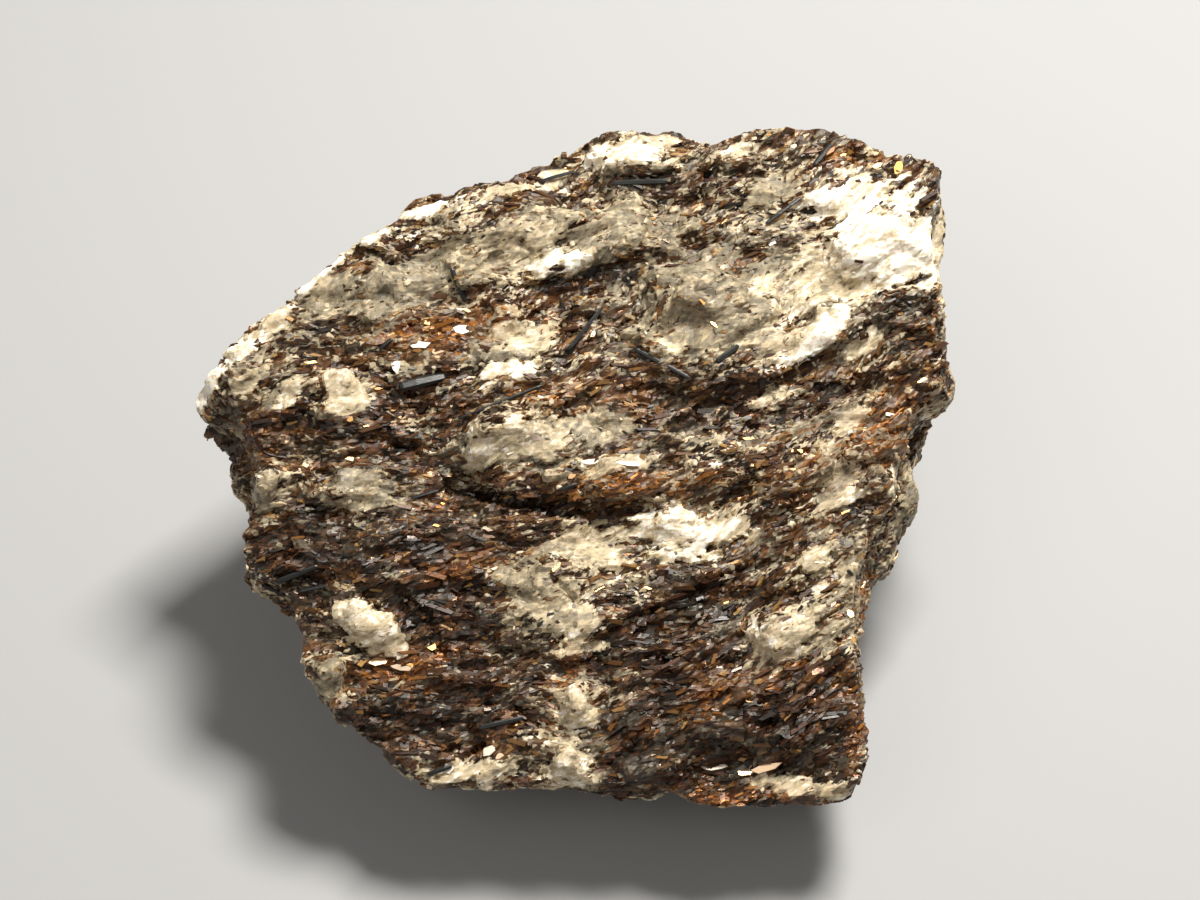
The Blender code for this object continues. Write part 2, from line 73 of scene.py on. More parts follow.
camera_data = bpy.data.cameras.new("camera")
camera_data.lens = LENS
camera_data.sensor_width = SENSOR
camera_data.clip_start = 0.01
camera = bpy.data.objects.new("camera", camera_data)
camera.location = camera_place
camera.rotation_euler = (math.radians(90.0) - ELEVATION, 0.0, 0.0)
bpy.context.scene.collection.objects.link(camera)
bpy.context.scene.camera = camera


def photo_ray(px, py):
    """The direction in which the camera sees a pixel of the 1200 by 900 photograph."""
    focal = LENS / SENSOR * PHOTO_WIDTH
    across = (px - 0.5 * PHOTO_WIDTH) / focal
    down = (py - 0.5 * PHOTO_HEIGHT) / focal
    return (Vector((across, 0.0, 0.0)) - camera_up * down - towards_camera).normalized()


print("camera at, mm:", [round(1000.0 * c) for c in camera_place])

# %% [markdown]
# ## Directions in the rock
# The broad broken face rises 20 degrees from its low front edge to the crest. The blades lie
# in its plane and run from left to right, level at the left and climbing towards the right. Every
# noise, scatter and finish below uses the same three coordinates: along the run, across it up
# the slope, and out of the face. Bending the second one makes the whole grain bend with it.

# %% Grain directions
FACE_TILT = math.radians(20.0)
SLOPE = Vector((0.0, math.cos(FACE_TILT), math.sin(FACE_TILT)))
FACE_NORMAL = Vector((0.0, -math.sin(FACE_TILT), math.cos(FACE_TILT)))
RUN_RISE = 0.25  # how steeply the run climbs to the right, in the middle of the face
RUN_BEND = 0.011  # how much steeper it gets with every millimetre to the right
WANDER = 1.6  # how far the run strays up and down the slope, in millimetres
WANDER_SIZE = 6.0  # the size of its waves, in millimetres


def strayed(mm):
    """How far the run strays up the slope at each point, in millimetres."""
    return WANDER * np.array([noise.noise(p) for p in (mm / WANDER_SIZE).tolist()])


def grain(points):
    """Along, across and out of the grain, in millimetres, for an array of points in metres."""
    mm = np.asarray(points) / MM
    along = mm[:, 0]
    bend = RUN_RISE * along + 0.5 * RUN_BEND * along**2 + strayed(mm)
    return np.stack([along, mm @ np.array(SLOPE) - bend, mm @ np.array(FACE_NORMAL)], axis=1)


def run_directions(points):
    """The way the blades run at each point, as unit vectors."""
    mm = np.asarray(points) / MM
    step = np.array((0.25, 0.0, 0.0))
    wander = (strayed(mm + step) - strayed(mm - step)) / (2.0 * step[0])
    climb = RUN_RISE + RUN_BEND * mm[:, 0] + wander
    runs = np.outer(np.ones(len(climb)), (1.0, 0.0, 0.0)) + np.outer(climb, SLOPE)
    return runs / np.linalg.norm(runs, axis=1)[:, None]


print("run in the middle:", np.round(run_directions(np.zeros((1, 3)))[0], 2).tolist())


# %% Soft steps and noise
def smoothstep(low, high, value):
    """0 below low, 1 above high, and smooth in between."""
    share = np.clip((value - low) / (high - low), 0.0, 1.0)
    return share * share * (3.0 - 2.0 * share)


def rough(places, size, octaves=3, shift=0.0):
    """Fractal noise of about -1 to 1 at each place. Size may differ along each axis."""
    scaled = places / np.asarray(size) + shift
    return np.array([noise.fractal(p, 0.9, 2.1, octaves) for p in scaled.tolist()])


print("soft steps:", smoothstep(0.0, 1.0, np.array((0.25, 0.5, 0.75))).tolist())


# %% [markdown]
# ## Skin of the rock
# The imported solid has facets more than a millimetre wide, which is right for a solid but too plain
# to look at. A copy of it is merged, given an even mesh of small cells by the Remesh modifier, and
# relaxed a little so that the big facets don't show through. The real relief comes next.


# %% Helpers for meshes
def mesh_object(name, bm, shown=True):
    """Turns a bmesh into an object, and links it to the scene if it is to be seen."""
    mesh = bpy.data.meshes.new(name)
    bm.to_mesh(mesh)
    bm.free()
    obj = bpy.data.objects.new(name, mesh)
    if shown:
        bpy.context.scene.collection.objects.link(obj)
    return obj


def merged_copy(node, name):
    """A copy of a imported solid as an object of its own, with its loose triangles joined up."""
    bm = bmesh.new()
    bm.from_mesh(node.data)
    bmesh.ops.remove_doubles(bm, verts=bm.verts[:], dist=1e-6)
    return mesh_object(name, bm)


def bake_modifiers(obj):
    """Replaces the object's mesh by what its modifiers make of it, and removes them."""
    graph = bpy.context.evaluated_depsgraph_get()
    mesh = bpy.data.meshes.new_from_object(obj.evaluated_get(graph))
    obj.modifiers.clear()
    obj.data = mesh


def read_points(obj, what):
    """One vector for each point of the mesh: its place, called co, or its normal."""
    values = np.zeros(3 * len(obj.data.vertices), dtype=np.float32)
    obj.data.vertices.foreach_get(what, values)
    return values.reshape(-1, 3).astype(float)


def move_to(obj, points):
    """Gives the mesh new positions for its points."""
    obj.data.vertices.foreach_set("co", points.astype(np.float32).ravel())
    obj.data.update()


def search_tree(obj):
    """A tree that answers where a ray meets the object."""
    points = [v.co.copy() for v in obj.data.vertices]
    return BVHTree.FromPolygons(points, [p.vertices[:] for p in obj.data.polygons])


# %% Even mesh
SKIN_CELL = 0.36 * MM

skin = merged_copy(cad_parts[ROCK], "rock_skin")
solid_tree = search_tree(skin)
remesh = skin.modifiers.new("even_cells", "REMESH")
remesh.mode = "VOXEL"
remesh.voxel_size = SKIN_CELL
bake_modifiers(skin)
relax = skin.modifiers.new("relax", "SMOOTH")
relax.factor = 0.5
relax.iterations = 2
bake_modifiers(skin)
print("skin cells:", len(skin.data.polygons))

# %% [markdown]
# ## Where each mineral is
# The share of feldspar changes from place to place. Clear patches of it, and zones where it is
# mixed in more thickly, are listed by the pixel of their middle in the photograph, their half
# length and half width in pixels and their turn in degrees. A ray finds each one on the rock. It
# becomes an ellipsoid there, so it sits in the stone and doesn't slide over it, and noise tears
# its edge. Where the photograph doesn't reach, noise alone makes patches of the same size.
#
# The result is stored as attributes of the mesh's points, which the finishes and the scatter read:
# feldspar (0 blades, 1 feldspar), pale (0 grey, 1 white), rust, dark, which is partly dark
# minerals and partly painted shade under ledges, in cracks and on the left wall, and streak, a
# tone that neighbouring blades share, which also paints the sheen of blades that catch the light
# together.

# %% Feldspar in the photograph
WHITE, CREAM, GREY = 1.0, 0.6, 0.15  # how pale the feldspar is

FELDSPAR_PATCHES = [
    # pale, x, y, half length, half width, turn
    (WHITE, 622, 152, 48, 14, 8), (CREAM, 650, 140, 34, 10, -5), (CREAM, 742, 148, 20, 10, 20),
    (WHITE, 862, 200, 58, 24, 5), (WHITE, 892, 240, 66, 50, 0), (CREAM, 842, 272, 62, 34, 15),
    (CREAM, 785, 296, 50, 26, 12), (0.0, 702, 268, 50, 22, 10), (GREY, 775, 192, 36, 18, 10),
    (GREY, 608, 232, 46, 25, 8), (0.4, 520, 240, 58, 22, 15), (WHITE, 556, 262, 46, 12, 4),
    (0.10, 405, 285, 60, 30, 25), (GREY, 328, 302, 44, 20, 38), (0.2, 470, 258, 44, 20, 14),
    # The white and cream patches at (422, 213), (372, 234), (344, 248), (322, 275), (274, 322),
    # (240, 350), (216, 376) and (204, 393) follow the upper left rim: they are partly white feldspar
    # and partly painted highlight, where the rim turns up towards the light from behind.
    (WHITE, 422, 213, 24, 8, 20), (CREAM, 344, 248, 22, 8, 40), (CREAM, 498, 193, 38, 9, 14),
    (CREAM, 550, 178, 20, 8, 25), (WHITE, 372, 234, 16, 8, 30), (WHITE, 322, 275, 36, 8, 42),
    (0.85, 204, 393, 15, 10, 60), (WHITE, 216, 376, 24, 11, 42), (WHITE, 240, 350, 36, 12, 44),
    (CREAM, 274, 322, 32, 11, 42), (CREAM, 288, 394, 20, 12, 50), (0.45, 250, 380, 22, 9, 38),
    (CREAM, 346, 389, 24, 26, 70), (CREAM, 530, 342, 36, 24, 0), (WHITE, 510, 370, 30, 15, 12),
    (GREY, 715, 308, 78, 42, 0), (CREAM, 735, 345, 76, 15, 8), (WHITE, 820, 334, 44, 17, 45),
    (CREAM, 865, 343, 27, 11, 35), (CREAM, 515, 438, 68, 24, 14), (WHITE, 540, 428, 30, 12, 20),
    (GREY, 600, 428, 34, 18, 5), (CREAM, 625, 463, 40, 10, 6), (0.85, 680, 530, 50, 27, -10),
    (CREAM, 724, 530, 30, 16, 10), (0.45, 592, 552, 44, 30, 5), (0.25, 540, 600, 52, 30, -35),
    (CREAM, 574, 622, 26, 30, 60), (0.62, 374, 630, 54, 22, -38), (GREY, 336, 682, 24, 16, -20),
    (GREY, 362, 487, 42, 19, -6), (GREY, 268, 492, 18, 26, 80), (0.65, 580, 712, 17, 30, 5),
    (0.60, 571, 772, 24, 28, 40), (CREAM, 782, 636, 42, 28, 10), (GREY, 832, 480, 14, 28, -25),
    (CREAM, 844, 500, 34, 8, 30), (CREAM, 893, 492, 9, 26, -15), (CREAM, 820, 556, 22, 12, 25),
    (CREAM, 852, 418, 22, 10, 30), (0.5, 772, 400, 30, 8, 30), (CREAM, 818, 590, 10, 8, 45),
    (0.5, 849, 576, 10, 16, 0), (0.3, 830, 634, 16, 9, 35), (CREAM, 480, 770, 40, 13, 5),
    (CREAM, 800, 786, 46, 10, -4), (CREAM, 962, 372, 12, 16, 0), (CREAM, 944, 280, 44, 12, 88),
    (CREAM, 938, 240, 30, 18, 60), (GREY, 918, 498, 14, 34, -10),
]
print("feldspar patches:", len(FELDSPAR_PATCHES))

# %% Mixed, rusty and dark zones in the photograph, some dark ones painted shade
MIXED_ZONES = [
    # share of feldspar added, x, y, half length, half width, turn
    (0.30, 350, 300, 110, 46, 35), (0.38, 500, 245, 130, 48, 14), (0.48, 630, 235, 100, 52, 8),
    (0.34, 770, 220, 70, 46, 0), (0.50, 730, 300, 130, 62, 8), (0.50, 830, 280, 110, 76, 18),
    (0.42, 620, 165, 90, 28, 4), (0.30, 480, 205, 90, 18, 18), (0.30, 790, 160, 80, 28, -6),
    (0.34, 520, 345, 60, 42, 0), (0.34, 355, 390, 62, 44, 50), (0.42, 262, 376, 66, 36, 38),
    (0.42, 540, 440, 110, 44, 8), (0.22, 720, 455, 90, 34, 14), (0.28, 830, 440, 66, 70, 40),
    (0.36, 700, 528, 90, 36, -4), (0.30, 815, 560, 66, 46, 20), (0.36, 560, 590, 74, 60, 10),
    (0.36, 790, 632, 60, 40, 10), (0.30, 850, 600, 30, 90, 0), (0.24, 360, 485, 76, 34, -6),
    (0.20, 330, 670, 50, 40, -20), (0.12, 500, 690, 60, 40, 0), (0.34, 575, 740, 34, 60, 10),
    (0.08, 490, 765, 60, 24, 0), (0.30, 865, 340, 60, 26, 40), (0.20, 910, 480, 30, 80, -15),
]

RUST_PATCHES = [
    # strength, x, y, half length, half width, turn
    (0.9, 448, 332, 78, 20, 8), (0.7, 560, 398, 70, 14, 6), (0.7, 440, 508, 24, 12, 0),
    (0.9, 640, 484, 100, 16, 4), (0.8, 405, 668, 46, 22, 10), (1.0, 702, 802, 32, 16, 0),
    (0.9, 860, 612, 20, 60, 0), (0.7, 856, 715, 12, 44, 0), (0.6, 620, 490, 60, 14, 5),
    (0.9, 892, 430, 52, 34, 50), (0.5, 815, 470, 50, 30, 30), (0.7, 850, 160, 40, 14, -10),
    (0.6, 700, 316, 26, 10, -60), (0.6, 780, 792, 70, 10, -3), (0.5, 250, 452, 26, 34, 60),
    (0.6, 480, 560, 60, 16, 12), (0.6, 740, 690, 90, 14, 24), (0.5, 560, 690, 14, 60, -10),
]

# Dark minerals, and painted shade: the patches at (545, 500), (705, 398), (800, 410), (590, 278),
# (655, 620), (430, 722) and (340, 430) lie along the crevices and darken the stone where shade falls
# under ledges and in cracks, and those at (232, 450) and (250, 450) darken the left wall, which is
# in shade.
DARK_AND_SHADE_PATCHES = [
    # strength, x, y, half length, half width, turn
    (0.7, 545, 500, 104, 12, -6), (0.25, 705, 398, 110, 22, 6), (0.9, 590, 278, 58, 12, 14),
    (1.0, 918, 302, 36, 17, 5), (0.6, 880, 330, 46, 18, 35), (0.8, 300, 575, 46, 22, 5),
    (0.9, 655, 620, 74, 18, 28), (0.8, 430, 612, 40, 26, 40), (0.8, 430, 722, 70, 14, -4),
    (0.7, 660, 722, 70, 34, 20), (0.8, 340, 430, 44, 12, -8), (0.8, 232, 450, 26, 40, 70),
    (0.7, 800, 410, 50, 16, 18), (0.7, 760, 780, 90, 18, 0), (0.7, 640, 182, 44, 8, 0),
    (0.7, 700, 560, 60, 12, 8), (0.6, 470, 545, 90, 16, 8), (0.6, 350, 545, 110, 52, 8),
    (0.7, 730, 730, 150, 62, 12), (0.5, 680, 640, 70, 60, 10), (0.6, 450, 610, 60, 56, 30),
    (0.6, 440, 705, 100, 44, 0), (0.4, 400, 440, 110, 28, -8), (0.4, 250, 450, 40, 50, 60),
]
print("zones:", len(MIXED_ZONES), "mixed,", len(RUST_PATCHES), "rusty,", len(DARK_AND_SHADE_PATCHES), "dark_and_shade")

# %% Where a pixel meets the rock
NEAR_ROCK, PAST_ROCK, RAY_STEP = 0.260, 0.340, 0.002  # distances from the camera, in metres


def on_rock(tree, px, py):
    """The place and normal of the rock at a pixel, or nearest to it if the ray just misses."""
    direction = photo_ray(px, py)
    hit = tree.ray_cast(camera_place, direction)
    if hit[0] is None:
        steps = round((PAST_ROCK - NEAR_ROCK) / RAY_STEP)
        reach = [camera_place + direction * (NEAR_ROCK + RAY_STEP * i) for i in range(steps)]
        nearest = min((solid_tree.find_nearest(p) for p in reach), key=lambda found: found[3])
        hit = tree.find_nearest(nearest[0])
    return hit[0], hit[1]


def in_face(turn):
    """The direction in the plane of the face that is turned so many degrees from level."""
    angle = math.radians(turn)
    return Vector((math.cos(angle), 0.0, 0.0)) + SLOPE * math.sin(angle)


middle_place, _ = on_rock(solid_tree, 0.5 * PHOTO_WIDTH, 0.5 * PHOTO_HEIGHT)
print("rock in the middle of the photograph, mm:", [round(1000.0 * c, 1) for c in middle_place])

# %% Strength of the patches
PIXELS_PER_MM = 12.3


def ellipse_strength(patches, soft=0.2):
    """The greatest strength of the ellipsoids at each point, and the first column of its patch."""
    best = np.zeros(len(skin_points))
    value = np.zeros(len(skin_points))
    for first, px, py, half_length, half_width, turn in patches:
        middle, _ = on_rock(solid_tree, px, py)
        long_axis = in_face(turn)
        short_axis = FACE_NORMAL.cross(long_axis)
        a, b = half_length / PIXELS_PER_MM, half_width / PIXELS_PER_MM
        away = (skin_points - np.array(middle)) / MM + warp * min(1.0, 0.6 * b)
        reach = np.sqrt(
            (away @ np.array(long_axis) / a) ** 2
            + (away @ np.array(short_axis) / b) ** 2
            + (away @ np.array(FACE_NORMAL) / max(b, 1.2)) ** 2
        )
        strength = smoothstep(-soft, soft, 1.0 - reach + ragged)
        value = np.where(strength > best, first, value)
        best = np.maximum(best, strength)
    return best, value


skin_points = read_points(skin, "co")
skin_grain = grain(skin_points)
warp = 0.9 * np.stack(
    [rough(skin_grain, (3.2, 1.6, 1.6), 3, shift) for shift in (3.0, 11.0, 23.0)], axis=1
)
ragged = 0.55 * rough(skin_grain, (2.2, 0.9, 0.9), 4, 31.0)
placed, placed_pale = ellipse_strength(FELDSPAR_PATCHES)
mixed = np.prod(ellipse_strength(MIXED_ZONES, 0.5), axis=0)
rust = np.prod(ellipse_strength(RUST_PATCHES, 0.5), axis=0)
dark_and_shade = np.prod(ellipse_strength(DARK_AND_SHADE_PATCHES, 0.4), axis=0)
print("points in a feldspar patch:", round(float(np.mean(placed > 0.5)), 3))

# %% [markdown]
# The walls, the back and the underside aren't in the photograph. They get patches from noise that
# is stretched along the run. Everywhere, broad bands and small flecks of noise raise and lower the
# share of feldspar between the patches.

# %% Patches beyond the photograph
skin_normals = read_points(skin, "normal")
on_face = smoothstep(0.35, 0.7, skin_normals @ np.array(FACE_NORMAL))
on_face *= smoothstep(-7.0, -4.0, skin_grain[:, 2] - np.max(skin_grain[:, 2]) + 3.0)
off_face = 1.0 - on_face
wild = smoothstep(0.16, 0.40, rough(skin_grain, (6.0, 3.0, 2.6), 4, 41.0)) * off_face
rust = np.maximum(rust, 0.6 * off_face * smoothstep(0.1, 0.6, rough(skin_grain, 6.0, 3, 71.0)))
dark_and_shade = np.maximum(dark_and_shade, 0.8 * off_face * smoothstep(0.1, 0.6, rough(skin_grain, 5.0, 3, 83.0)))
bands = rough(skin_grain, (7.0, 2.0, 2.0), 3, 91.0)
flecks = rough(skin_grain, (1.6, 0.8, 0.8), 3, 101.0)
# The streak is a tone that neighbouring blades share, and it also paints the sheen of bands of
# blades that catch the light together.
streak_and_sheen = 0.5 + 0.8 * rough(skin_grain, (2.8, 0.9, 0.9), 2, 113.0)
# Painted shade in the dark zones lowers the share of feldspar there, as dark minerals do.
matrix = 0.22 + 0.26 * bands + 0.30 * flecks + 0.9 * mixed + 0.14 * off_face - 0.22 * dark_and_shade
matrix = np.clip(matrix, 0.03, 0.85)
patch = np.maximum(placed, wild * (1.0 - dark_and_shade))
wild_pale = 0.30 + 0.7 * rough(skin_grain, (6.0, 3.0, 3.0), 3, 57.0)
pale = np.where(placed > np.maximum(wild, 0.35), placed_pale, wild_pale)
feldspar = matrix + (0.82 + 0.15 * np.clip(pale, 0.0, 1.0) - matrix) * patch
dark_and_shade *= 1.0 - patch
print("mean share of feldspar:", round(float(np.mean(feldspar)), 3))

# %% [markdown]
# ## Relief of the skin
# Broken rock of this kind is a pile of small flat facets, one for each blade end or cleavage
# plane. Voronoi noise makes them: every cell gets its own height and its own tilt, and stretching
# the cells along the run turns them into laths. Two sizes are added. Feldspar breaks in larger,
# smoother facets, so the laths fade out there. The dark clefts that the photograph shows are cut
# in along routes of pixels. Nothing moves near the ground, where the flat spot is. The normals are
# also averaged over a narrower and a wider ring of neighbours, which tells how flat the rock is
# around each point.

# %% Crevices
CREVICES = [
    # depth, half width, the pixels it runs through
    (0.9, 0.45, [(452, 482), (500, 498), (545, 506), (600, 512), (648, 509)]),
    (0.4, 0.35, [(636, 400), (700, 408), (756, 398), (800, 374), (835, 346)]),
    (0.5, 0.35, [(528, 288), (585, 273), (640, 264)]),
    (0.5, 0.22, [(540, 558), (554, 578), (577, 606)]),
    (0.6, 0.40, [(588, 648), (632, 622), (702, 590)]),
    (0.6, 0.35, [(398, 592), (425, 612), (440, 650)]),
    (0.5, 0.35, [(372, 716), (420, 724), (472, 730)]),
    (0.5, 0.35, [(330, 432), (372, 436), (410, 446)]),
    (0.5, 0.35, [(720, 575), (760, 566), (800, 560)]),
]


def crevice_depth(points):
    """How deep the crevices cut at each point."""
    depth = np.zeros(len(points))
    for deep, half_width, route in CREVICES:
        places = []
        for px, py in route:
            places.append(np.array(on_rock(solid_tree, px, py)[0]) / MM)
        mm = points / MM
        for start, end in zip(places, places[1:]):
            run = end - start
            share = np.clip((mm - start) @ run / (run @ run), 0.0, 1.0)
            apart = np.linalg.norm(mm - start - share[:, None] * run, axis=1)
            apart += 0.25 * warp[:, 0]
            depth = np.maximum(depth, deep * (1.0 - smoothstep(0.3, 1.6, apart / half_width)))
    return depth


crevices = crevice_depth(skin_points)
print("deepest crevice, mm:", round(float(crevices.max()), 2))


# %% How flat the rock is
def neighbour_average(obj, values, rounds):
    """Values averaged with those of the neighbouring points, several times over."""
    ends = np.zeros(2 * len(obj.data.edges), dtype=np.int32)
    obj.data.edges.foreach_get("vertices", ends)
    first, second = ends[0::2], ends[1::2]
    count = 1.0 + np.bincount(ends, minlength=len(values))
    for _ in range(rounds):
        total = values.copy()
        for column in range(values.shape[1]):
            total[:, column] += np.bincount(first, values[second, column], len(values))
            total[:, column] += np.bincount(second, values[first, column], len(values))
        values = total / count[:, None]
    return values


near_normals = neighbour_average(skin, skin_normals, 8)
wide_normals = neighbour_average(skin, near_normals, 20)
flat = smoothstep(0.80, 0.95, np.linalg.norm(near_normals, axis=1))
flat_wide = smoothstep(0.78, 0.93, np.linalg.norm(wide_normals, axis=1))
print("points away from edges:", round(float(np.mean(flat > 0.5)), 3))

# %% Facets and the whole relief
HOLD_LOW, HOLD_HIGH = 0.1, 1.2  # mm above the ground between which the relief fades in


def facets(places, size, tilt, shift):
    """One flat tilted facet for each Voronoi cell: its height at each place, about -1 to 1."""
    heights = np.empty(len(places))
    for i, place in enumerate((places / np.asarray(size) + shift).tolist()):
        nearest = noise.voronoi(place)[1][0]
        chance = noise.cell_vector(nearest * 19.0)
        slant = noise.cell_vector(nearest * 31.0)
        lean = (Vector(place) - nearest).dot(slant * 2.0 - Vector((1.0, 1.0, 1.0)))
        heights[i] = 2.0 * chance.x - 1.0 + tilt * lean
    return heights


hold = smoothstep(HOLD_LOW, HOLD_HIGH, skin_points[:, 2] / MM)
laths = facets(skin_grain, (2.6, 0.75, 0.75), 0.8, 5.0)
chips = facets(skin_grain, (1.1, 0.42, 0.42), 0.8, 9.0)
cleavage = facets(skin_grain, (2.4, 2.0, 1.6), 1.1, 13.0)
blade_relief = 0.26 * laths + 0.10 * chips
sugar = rough(skin_grain, 1.5, 3, 19.0)
feldspar_relief = 0.12 * cleavage + 0.02 * chips + 0.14 * sugar + 0.14
smooth_share = smoothstep(0.45, 0.85, feldspar)
relief = (1.0 - smooth_share) * blade_relief + smooth_share * feldspar_relief
relief -= crevices
move_to(skin, skin_points + skin_normals * (MM * hold * relief)[:, None])
print("relief, mm:", round(float(relief.min()), 2), "to", round(float(relief.max()), 2))

# %% [markdown]
# The attributes are written to the skin. The run direction goes with them, because the scatter
# turns every blade along it, and so do the grain coordinates, which the skin's patterns follow,
# and the direction that a blade's broad side faces, called lie.

# %% Attributes of the skin
RUN = "run"
GRAIN = "grain"
LIE = "lie"


def store(obj, name, values):
    """Writes one number or one vector for each point of the mesh."""
    kind = "FLOAT" if values.ndim == 1 else "FLOAT_VECTOR"
    field = "value" if values.ndim == 1 else "vector"
    attribute = obj.data.attributes.new(name, kind, "POINT")
    attribute.data.foreach_set(field, values.astype(np.float32).ravel())


fields = {"feldspar": feldspar, "pale": pale, "rust": rust, "dark_and_shade": dark_and_shade, "streak_and_sheen": streak_and_sheen}
for name, values in fields.items():
    store(skin, name, np.clip(values, 0.0, 1.0))
    print(name, round(float(np.mean(values)), 3))
store(skin, RUN, run_directions(read_points(skin, "co")))
store(skin, GRAIN, grain(read_points(skin, "co")))
store(skin, LIE, 0.5 * near_normals + 0.5 * read_points(skin, "normal"))

# %% [markdown]
# ## Writing finishes as expressions
# A finish is a small network of shader nodes. Wiring it by hand hides the idea, so a short class
# wraps a socket and lets Python's own signs add the Math nodes: 1 - mask is a subtraction node.
# Every other kind of node comes from one method, and colours are mixed, not calculated.


# %% Sockets in expressions
class Signal:
    """A node's output, which can stand in an expression like a number."""

    def __init__(self, network, socket):
        self.network = network
        self.socket = socket

    def maths(self, operation, first, second):
        settings = {"operation": operation}
        return self.network.node("ShaderNodeMath", settings, {0: first, 1: second})

    def __add__(self, other):
        return self.maths("ADD", self, other)

    def __radd__(self, other):
        return self.maths("ADD", other, self)

    def __sub__(self, other):
        return self.maths("SUBTRACT", self, other)

    def __rsub__(self, other):
        return self.maths("SUBTRACT", other, self)

    def __mul__(self, other):
        return self.maths("MULTIPLY", self, other)

    def __rmul__(self, other):
        return self.maths("MULTIPLY", other, self)


# %% Networks of nodes
class Network:
    """A tree of nodes that is written in steps."""

    def node(self, kind, settings=None, inputs=None, output=0):
        """Adds a node: its settings first, then its values or links. Returns one output."""
        made = self.tree.nodes.new(kind)
        for key, value in (settings or {}).items():
            setattr(made, key, value)
        for key, value in (inputs or {}).items():
            self.feed(made.inputs[key], value)
        return Signal(self, made.outputs[output])

    def feed(self, socket, value):
        """Links a signal to a socket, or sets the socket to a plain value."""
        if isinstance(value, Signal):
            self.tree.links.new(value.socket, socket)
        else:
            socket.default_value = value


# %% Finishes
class Finish(Network):
    """A material. Its patterns may follow the bent run of the rock."""

    def __init__(self, name, follows_run=False):
        self.follows_run = follows_run
        self.material = bpy.data.materials.new(name)
        self.material.use_nodes = True
        self.tree = self.material.node_tree
        self.shader = self.tree.nodes["Principled BSDF"]

    def set(self, **values):
        """Sets or links the shader's own sockets. Underscores stand for spaces."""
        for name, value in values.items():
            self.feed(self.shader.inputs[name.replace("_", " ")], value)

    def bump(self, height, strength, depth):
        """Roughens the surface by a height signal, as deep as depth in millimetres."""
        inputs = {"Strength": strength, "Distance": depth * MM, "Height": height}
        self.set(Normal=self.node("ShaderNodeBump", {}, inputs))

    def mix(self, factor, first, second):
        """A colour between two colours."""
        settings = {"data_type": "RGBA", "clamp_factor": True}
        return self.node("ShaderNodeMix", settings, {0: factor, 6: first, 7: second}, 2)

    def attribute(self, name):
        """A number stored on the mesh's points."""
        return self.node("ShaderNodeAttribute", {"attribute_name": name}, {}, 2)

    def ramp(self, value, low, high):
        """0 where the value is below low, 1 above high."""
        inputs = {0: value, 1: low, 2: high}
        return self.node("ShaderNodeMapRange", {"interpolation_type": "SMOOTHSTEP"}, inputs)


# %% [markdown]
# ## Coordinates for the finishes
# The patterns in the stone are stretched along the run. The skin has the bent grain coordinates
# stored on its points, so its patterns bend with the run. The small pieces read Object
# coordinates, turned into the middle run's direction and scaled to millimetres.

# %% Coordinates in the grain
RUN_ANGLE = math.atan(RUN_RISE)
print("run of the small pieces' patterns, degrees:", round(math.degrees(RUN_ANGLE), 1))


def turned_coordinates(finish, scale):
    """Coordinates in millimetres with X along the run, scaled, for a pattern to read."""
    if finish.follows_run:
        place = finish.node("ShaderNodeAttribute", {"attribute_name": GRAIN}, {}, 1)
    else:
        place = finish.node("ShaderNodeTexCoord", {}, {}, 3)
        for axis, angle in (("X_AXIS", FACE_TILT), ("Z_AXIS", RUN_ANGLE)):
            settings = {"rotation_type": axis}
            place = finish.node("ShaderNodeVectorRotate", settings, {0: place, 3: -angle})
        scale = tuple(s / MM for s in scale)
    return finish.node("ShaderNodeVectorMath", {"operation": "MULTIPLY"}, {0: place, 1: scale})


def noise_signal(finish, scale, detail=3.0, roughness=0.6, distortion=0.0):
    """Noise from 0 to 1 whose lumps are 1 / scale millimetres along each axis."""
    inputs = {"Vector": turned_coordinates(finish, scale), "Scale": 1.0}
    inputs.update({"Detail": detail, "Roughness": roughness, "Distortion": distortion})
    return finish.node("ShaderNodeTexNoise", {}, inputs)


def cell_colour(finish, scale):
    """One random colour for each cell of a Voronoi pattern, as three signals."""
    inputs = {"Vector": turned_coordinates(finish, scale), "Scale": 1.0}
    colour = finish.node("ShaderNodeTexVoronoi", {}, inputs, 1)
    return [finish.node("ShaderNodeSeparateColor", {}, {0: colour}, i) for i in range(3)]


# %% [markdown]
# ## Finish of the skin
# Up close the stone is a speckle of tiny blades and grains, a few tenths of a millimetre wide.
# Each Voronoi cell takes one mineral and one tone by chance. The stored feldspar attribute sets
# the odds: nearly every cell of a patch is feldspar, and about one in three or four elsewhere. The
# blades' cleavage planes shine, and the feldspar is duller, so roughness follows the same mask.
# Light sinks a little way into the feldspar, so the skin has some subsurface scattering.

# %% Colours of the minerals
BLACK_BROWN = (0.009, 0.005, 0.002, 1.0)
MAROON = (0.044, 0.015, 0.005, 1.0)
WARM_BROWN = (0.126, 0.053, 0.015, 1.0)
TAN = (0.310, 0.190, 0.085, 1.0)
OLIVE_GREY = (0.086, 0.070, 0.046, 1.0)
RUST_BROWN = (0.085, 0.026, 0.005, 1.0)
RUST_ORANGE = (0.420, 0.165, 0.030, 1.0)
SMOKY_FELDSPAR = (0.094, 0.079, 0.053, 1.0)
GREY_FELDSPAR = (0.258, 0.220, 0.150, 1.0)
CREAM_FELDSPAR = (0.550, 0.456, 0.302, 1.0)
WHITE_FELDSPAR = (0.890, 0.845, 0.755, 1.0)


def rust_tones(finish, chance):
    """The colour of a stained blade: mostly deep red-brown, at times orange."""
    return finish.mix(finish.ramp(chance, 0.55, 1.0), RUST_BROWN, RUST_ORANGE)


